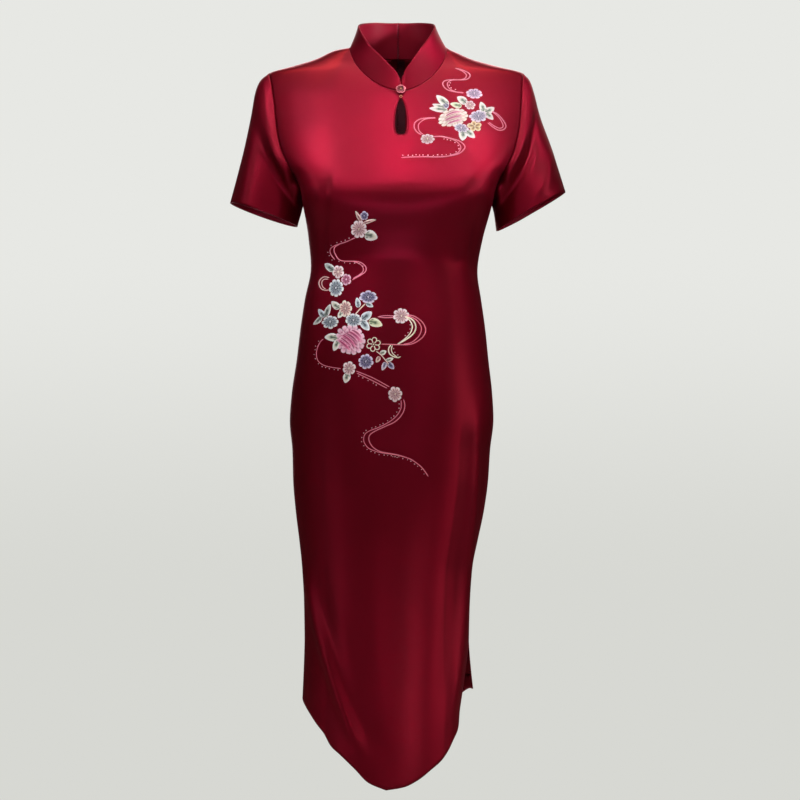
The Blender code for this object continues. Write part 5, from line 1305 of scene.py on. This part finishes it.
# ---------------------------------------------------------------- rose button and its loop
# A moulded rose with thin petals and a gold bead at its heart sits on a small shank where the
# collar's ends meet. A gold ring under it closes the keyhole. Both are sewn to the neck seam.
ROSE_SEAT_X, ROSE_SHANK, ROSE_BACK = NECK_FRONT_X, 0.0006, 0.0018
PetalRound = namedtuple("PetalRound", "petals turn inner outer low high half_spread rim")
PETAL_ROUNDS = (
    PetalRound(5, 18.0, 0.0012, 0.0073, 0.0004, 0.0026, 42.0, 1.00),
    PetalRound(5, 54.0, 0.0012, 0.0058, 0.0008, 0.0044, 42.0, 0.55),
    PetalRound(4, 10.0, 0.0012, 0.0040, 0.0010, 0.0040, 50.0, 0.30),
    PetalRound(3, 70.0, 0.0010, 0.0028, 0.0010, 0.0032, 62.0, 0.10),
)
PETAL_FOLD, HEART_RADIUS, HEART_HEIGHT = 0.00038, 0.00125, 0.0030
CALYX_LOW_RADIUS, CALYX_TOP_RADIUS, CALYX_THICKNESS = 0.0046, 0.0030, 0.0008
SHANK_RADIUS = 0.0020
rose_point = halves[FRONT, LEFT][0, 0].copy()
rose_point[0] = ROSE_SEAT_X
rose_out = front_skin.find_nearest(Vector(rose_point))[1]
rose_out = Vector((0.0, rose_out.y, rose_out.z)).normalized()
if rose_out.y > 0.0:
    rose_out = -rose_out
rose_up = Vector((0.0, 0.0, 1.0))
rose_up = (rose_up - rose_out * rose_up.dot(rose_out)).normalized()
rose_seat = (Matrix.Translation(rose_point)
             @ Matrix((rose_up.cross(rose_out), rose_up, rose_out)).transposed().to_4x4())

rose_bm = bmesh.new()
rim_layer = rose_bm.verts.layers.float.new("petal_rim")
for whorl in PETAL_ROUNDS:
    for k in range(whorl.petals):
        middle = math.radians(whorl.turn + 360.0 * k / whorl.petals)
        petal = bmesh.ops.create_grid(rose_bm, x_segments=8, y_segments=7, size=0.5)
        for vert in petal["verts"]:
            # A petal widens outwards, is notched at its rim and curls back over there.
            across, t = vert.co.x * 2.0, vert.co.y + 0.5
            angle = middle + math.radians(whorl.half_spread) * across * (0.35 + 0.65 * t)
            reach = whorl.inner + (whorl.outer - whorl.inner) * t ** 0.8
            reach *= 1.0 - 0.20 * abs(across) ** 2.5 * t
            curl = (math.sin(min(t * 1.18, 1.0) * math.pi / 2.0)
                    - 0.165 * max(0.0, t - 0.82) / 0.18)
            height = ROSE_BACK + whorl.low + (whorl.high - whorl.low) * curl
            height += 0.0003 * across * (1 if k % 2 else -1)
            vert[rim_layer] = whorl.rim * float(ease((t - 0.66) / 0.28))
            vert.co = (reach * math.cos(angle), reach * math.sin(angle), height)
bmesh.ops.recalc_face_normals(rose_bm, faces=rose_bm.faces)
bmesh.ops.solidify(rose_bm, geom=rose_bm.faces[:], thickness=PETAL_FOLD)
calyx = bmesh.ops.create_cone(rose_bm, cap_ends=True, segments=20, radius1=CALYX_LOW_RADIUS,
                              radius2=CALYX_TOP_RADIUS, depth=CALYX_THICKNESS)
bmesh.ops.translate(rose_bm, verts=calyx["verts"],
                    vec=(0.0, 0.0, ROSE_BACK + CALYX_THICKNESS / 2.0))
shank = bmesh.ops.create_cone(rose_bm, cap_ends=True, segments=16, radius1=SHANK_RADIUS,
                              radius2=SHANK_RADIUS, depth=ROSE_BACK - ROSE_SHANK)
bmesh.ops.translate(rose_bm, verts=shank["verts"],
                    vec=(0.0, 0.0, (ROSE_BACK + ROSE_SHANK) / 2.0))
bmesh.ops.transform(rose_bm, matrix=rose_seat, verts=rose_bm.verts)
rose_resin, tree, shader = new_material("rose_resin", Roughness=0.38)
petal_rim = add_node(tree, "ShaderNodeAttribute")
petal_rim.attribute_name = "petal_rim"
rose_grain = object_texture(tree, "ShaderNodeTexNoise", Scale=2600.0)
feed(tree, shader, Base_Color=two_tones(tree, petal_rim.outputs["Fac"], (0.13, 0.002, 0.006),
                                        (0.90, 0.20, 0.24), 0.15, 0.85),
     Normal=relief(tree, rose_grain.outputs["Fac"], 0.25, 0.0001))
rose_button = finished_piece("rose_button_petals", rose_bm, rose_resin)
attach(rose_button, "dress")
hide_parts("rose_button")


def plated_metal(name, colour, worn, roughness, scale):
    """Plated metal with rubbed patches and fine scratches."""
    material, tree, shader = new_material(name, Metallic=1.0)
    rubbed = object_texture(tree, "ShaderNodeTexNoise", Scale=scale, Detail=5.0).outputs["Fac"]
    polish = between(tree, rubbed, roughness - 0.08, roughness + 0.10)
    feed(tree, shader, Base_Color=two_tones(tree, rubbed, colour, worn, 0.42, 0.68),
         Roughness=polish.outputs["Result"], Normal=relief(tree, rubbed, 0.15, 0.00005))
    return material


gold = plated_metal("gold_plate", (0.80, 0.50, 0.20), (0.92, 0.68, 0.38), 0.28, 900.0)
heart_bm = bmesh.new()
bmesh.ops.create_uvsphere(heart_bm, u_segments=16, v_segments=10, radius=HEART_RADIUS,
                          matrix=Matrix.Translation((0.0, 0.0, ROSE_BACK + HEART_HEIGHT)))
bmesh.ops.transform(heart_bm, matrix=rose_seat, verts=heart_bm.verts)
rose_heart = finished_piece("rose_heart_bead", heart_bm, gold)
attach(rose_heart, "dress")


def refinish(node, material):
    """Give a solid that keeps its own shape a better finish."""
    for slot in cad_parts[node].material_slots:
        slot.material = material


refinish("button_loop", gold)

# ---------------------------------------------------------------- concealed zip
# A nylon zip lies hidden behind the centre back seam, from the collar's upper edge to the hip.
# Its tape is sewn to both backs; the slider rides outside and its pull tab swings on the bail.
ZIP_LOW_Z, TAPE_WIDTH, TAPE_CLOTH = -0.480, 0.0115, 0.0005
TOOTH_PITCH, TOOTH_SIZE = 0.0016, (0.0026, 0.0009, 0.0007)
TOOTH_LEAN, COIL_BEHIND_TAPE = 0.18, 0.0012
TAPE_SPOTS, TAPE_GAP = (0.0004, 0.0040, 0.0078, TAPE_WIDTH), 0.0006
COLUMNS_UNDER_TAPE = 14
enamel = plated_metal("wine_enamelled_zinc", (0.20, 0.020, 0.032), (0.30, 0.10, 0.10),
                      0.32, 600.0)
refinish("zip_slider", enamel)
refinish("zip_pull", enamel)

tape_cloth, tree, shader = new_material("zip_tape_cloth", Roughness=0.8)
rib = object_texture(tree, "ShaderNodeTexWave", Scale=380.0)
rib.bands_direction = "Z"
# The tape's colour darkens in the furrows between its ribs, a painted shade following their
# relief.
feed(tree, shader, Base_Color=two_tones(tree, rib.outputs["Fac"], (0.070, 0.003, 0.010),
                                        (0.120, 0.006, 0.018)),
     Normal=relief(tree, rib.outputs["Fac"], 0.4, 0.0001))


def zip_line(side, with_collar):
    """Rows across one tape down to the zip's end; the collar's layers hide its upper part."""
    collar_rows = stands[side][::-1, ::-1] if with_collar else stands[side][:0, ::-1]
    inwards = np.array((0.0, -1.0, 0.0))
    rows = []
    for grid, wall in ((collar_rows[1:-1], COLLAR_CLOTH), (halves[BACK, side][1:], CLOTH)):
        for line in grid:
            if line[0, 2] < ZIP_LOW_Z:
                break
            near = line[:COLUMNS_UNDER_TAPE]
            reach = reach_along(near)
            row = np.stack([np.interp(TAPE_SPOTS, reach, column) for column in near.T], -1)
            rows.append(row + inwards * (wall + TAPE_GAP))
    return np.stack(rows)


for side in (LEFT, RIGHT):
    rows = zip_line(side, False)
    tape_bm = bmesh.new()
    tape = bmesh.ops.create_grid(tape_bm, x_segments=3, y_segments=len(rows) - 1, size=0.5)
    for vert, point in zip(tape["verts"], rows.reshape(-1, 3)):
        vert.co = point
    bmesh.ops.recalc_face_normals(tape_bm, faces=tape_bm.faces)
    bmesh.ops.solidify(tape_bm, geom=tape_bm.faces[:], thickness=TAPE_CLOTH)
    tape_piece = finished_piece(f"zip_tape_{side_name(side)}", tape_bm, tape_cloth,
                                smooth=False)
    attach(tape_piece, "dress")

coil_path = (zip_line(LEFT, True)[:, 0] + zip_line(RIGHT, True)[:, 0]) / 2.0
coil_path = coil_path - np.array((0.0, COIL_BEHIND_TAPE, 0.0))
teeth = int(reach_along(coil_path)[-1] / TOOTH_PITCH)
coil_bm = bmesh.new()
for point in evenly(coil_path, np.linspace(0.0, 1.0, teeth)):
    tooth = bmesh.ops.create_uvsphere(coil_bm, u_segments=6, v_segments=4, radius=0.5)
    bmesh.ops.scale(coil_bm, verts=tooth["verts"], vec=TOOTH_SIZE)
    bmesh.ops.rotate(coil_bm, verts=tooth["verts"], matrix=Matrix.Rotation(TOOTH_LEAN, 3, "Y"))
    bmesh.ops.translate(coil_bm, verts=tooth["verts"], vec=point)
nylon, tree, shader = new_material("coil_nylon", Roughness=0.35)
mottle = object_texture(tree, "ShaderNodeTexNoise", Scale=700.0)
feed(tree, shader, Base_Color=two_tones(tree, mottle.outputs["Fac"], (0.090, 0.004, 0.012),
                                        (0.170, 0.012, 0.028)))
zip_coil = finished_piece("zip_coil", coil_bm, nylon)
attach(zip_coil, "dress")

# ---------------------------------------------------------------- studio
# A pale round studio: its floor runs up into the wall without an edge and shows the same pale
# tone from every side. Soft lamps stand overhead, in front and behind, and a plain floor
# returns their light.
FLOOR_Z, STUDIO_RADIUS, COVE, STUDIO_TOP = -1.40, 5.2, 0.9, 4.6
WALL_TONE_Z, FLOOR_RADIUS, FLOOR_DROP = 0.2, 2.6, 0.01
profile = [(0.0, FLOOR_Z)]
profile += [((STUDIO_RADIUS - COVE) * t, FLOOR_Z) for t in (0.25, 0.5, 0.75, 1.0)]
profile += [(STUDIO_RADIUS - COVE + COVE * math.sin(t), FLOOR_Z + COVE * (1.0 - math.cos(t)))
            for t in np.linspace(0.15, math.pi / 2.0, 10)]
profile += [(STUDIO_RADIUS, 1.5), (STUDIO_RADIUS * 0.9, 3.2), (STUDIO_RADIUS * 0.55, 4.2),
            (0.0, STUDIO_TOP)]
stage_bm = bmesh.new()
ring = [stage_bm.verts.new((radius, 0.0, height)) for radius, height in profile]
for a, b in zip(ring, ring[1:]):
    stage_bm.edges.new((a, b))
bmesh.ops.spin(stage_bm, geom=stage_bm.verts[:] + stage_bm.edges[:], cent=(0.0, 0.0, 0.0),
               axis=(0.0, 0.0, 1.0), angle=2.0 * math.pi, steps=72, use_merge=True)
bmesh.ops.remove_doubles(stage_bm, verts=stage_bm.verts, dist=0.001)
backdrop, tree, shader = new_material("studio_backdrop")
tree.nodes.remove(shader)
place = add_node(tree, "ShaderNodeTexCoord")
level = add_node(tree, "ShaderNodeSeparateXYZ", {"Vector": place.outputs["Object"]})
height = between(tree, level.outputs["Z"], 0.0, 1.0, From_Min=FLOOR_Z, From_Max=WALL_TONE_Z)
height.interpolation_type = "SMOOTHSTEP"
glow = add_node(tree, "ShaderNodeEmission", {"Color": two_tones(
    tree, height.outputs["Result"], (0.680, 0.686, 0.650), (0.800, 0.806, 0.776))})
tree.links.new(glow.outputs["Emission"], tree.nodes["Material Output"].inputs["Surface"])
studio_backdrop = finished_piece("studio_backdrop", stage_bm, backdrop)
studio_backdrop.visible_diffuse = studio_backdrop.visible_glossy = False
studio_backdrop.visible_transmission = studio_backdrop.visible_shadow = False

floor_bm = bmesh.new()
bmesh.ops.create_circle(floor_bm, cap_ends=True, segments=64, radius=FLOOR_RADIUS,
                        matrix=Matrix.Translation((0.0, 0.0, FLOOR_Z - FLOOR_DROP)))
paint = new_material("studio_paint", Base_Color=(0.62, 0.62, 0.60, 1.0), Roughness=0.9)[0]
studio_floor = finished_piece("studio_floor", floor_bm, paint, smooth=False)
studio_floor.visible_camera = False

# Each lamp has its place, the point it faces, its size, its spread in degrees, its power in
# watts and its tint. Narrow cool lamps light the chest, a faint violet one the waist.
Lamp = namedtuple("Lamp", "name x y z aim_x aim_y aim_z width height spread power tint")
NEUTRAL, COOL, VIOLET = (1.0, 1.0, 1.0), (0.90, 1.0, 1.06), (0.95, 0.80, 1.30)
LAMPS = (
    Lamp("overhead", 0.10, -0.62, 1.05, 0.02, -0.12, -0.10, 4.0, 0.7, 80.0, 2.7, COOL),
    Lamp("front_high", 0.10, -1.70, 1.38, 0.02, -0.10, -0.30, 6.0, 0.8, 130.0, 22.5, NEUTRAL),
    Lamp("chest_left", -0.95, -1.45, 1.65, -0.10, -0.08, -0.10, 0.42, 0.40, 4.0, 0.185, COOL),
    Lamp("chest_right", 0.95, -1.45, 1.65, 0.12, -0.08, -0.10, 0.44, 0.40, 4.0, 0.200, COOL),
    Lamp("shoulders", 0.0, 0.12, 1.25, 0.0, -0.06, -0.04, 0.42, 0.26, 7.0, 0.20, COOL),
    Lamp("front_fill", 0.05, -3.20, -0.70, 0.0, 0.0, -0.60, 5.0, 1.5, 140.0, 2.5, NEUTRAL),
    Lamp("belly", 0.10, -2.20, -1.22, 0.02, -0.11, -0.33, 1.1, 0.30, 12.0, 0.135, VIOLET),
    Lamp("hem", 0.85, -2.20, -1.36, 0.07, -0.10, -0.95, 0.5, 0.20, 14.0, 0.075, NEUTRAL),
    Lamp("side_right", 2.40, -1.00, -0.60, 0.1, 0.0, -0.95, 1.0, 1.0, 40.0, 0.95, NEUTRAL),
    Lamp("side_left", -2.20, -1.60, -0.75, -0.1, 0.0, -0.92, 1.0, 0.6, 14.0, 0.14, COOL),
    Lamp("collar_right", 1.60, -0.90, 0.25, 0.06, -0.05, 0.01, 0.9, 0.3, 11.0, 1.25, COOL),
    Lamp("collar_left", -1.60, -0.90, 0.25, -0.06, -0.05, -0.01, 0.6, 0.5, 14.0, 0.18, COOL),
    Lamp("back_high", 0.20, 2.60, 1.30, 0.0, 0.10, -0.30, 4.0, 1.0, 80.0, 18.0, NEUTRAL),
    Lamp("back_low", -0.60, 3.20, -0.40, 0.0, 0.10, -0.60, 1.4, 1.0, 80.0, 1.8, NEUTRAL),
)
for lamp in LAMPS:
    light = bpy.data.lights.new(lamp.name, "AREA")
    light.shape = "RECTANGLE"
    light.size, light.size_y = lamp.width, lamp.height
    light.energy, light.color = lamp.power, lamp.tint
    light.spread = math.radians(lamp.spread)
    holder = bpy.data.objects.new(lamp.name, light)
    holder.visible_camera = False
    holder.location = (lamp.x, lamp.y, lamp.z)
    aim = Vector((lamp.aim_x, lamp.aim_y, lamp.aim_z)) - Vector(holder.location)
    holder.rotation_euler = aim.to_track_quat("-Z", "Y").to_euler()
    bpy.context.scene.collection.objects.link(holder)
world = bpy.data.worlds.new("studio")
world.use_nodes = True
sky = world.node_tree.nodes["Background"]
sky.inputs["Color"].default_value = (1.0, 0.90, 0.92, 1.0)
sky.inputs["Strength"].default_value = 0.07
bpy.context.scene.world = world
bpy.context.scene.view_settings.view_transform = "Standard"

LENS, SENSOR, CAMERA_PLACE = 75.0, 36.0, (0.006, -2.5, -0.51)
camera_data = bpy.data.cameras.new("camera")
camera_data.lens, camera_data.sensor_width = LENS, SENSOR
camera = bpy.data.objects.new("camera", camera_data)
camera.location = CAMERA_PLACE
camera.rotation_euler = (math.pi / 2.0, 0.0, 0.0)
bpy.context.scene.collection.objects.link(camera)
bpy.context.scene.camera = camera
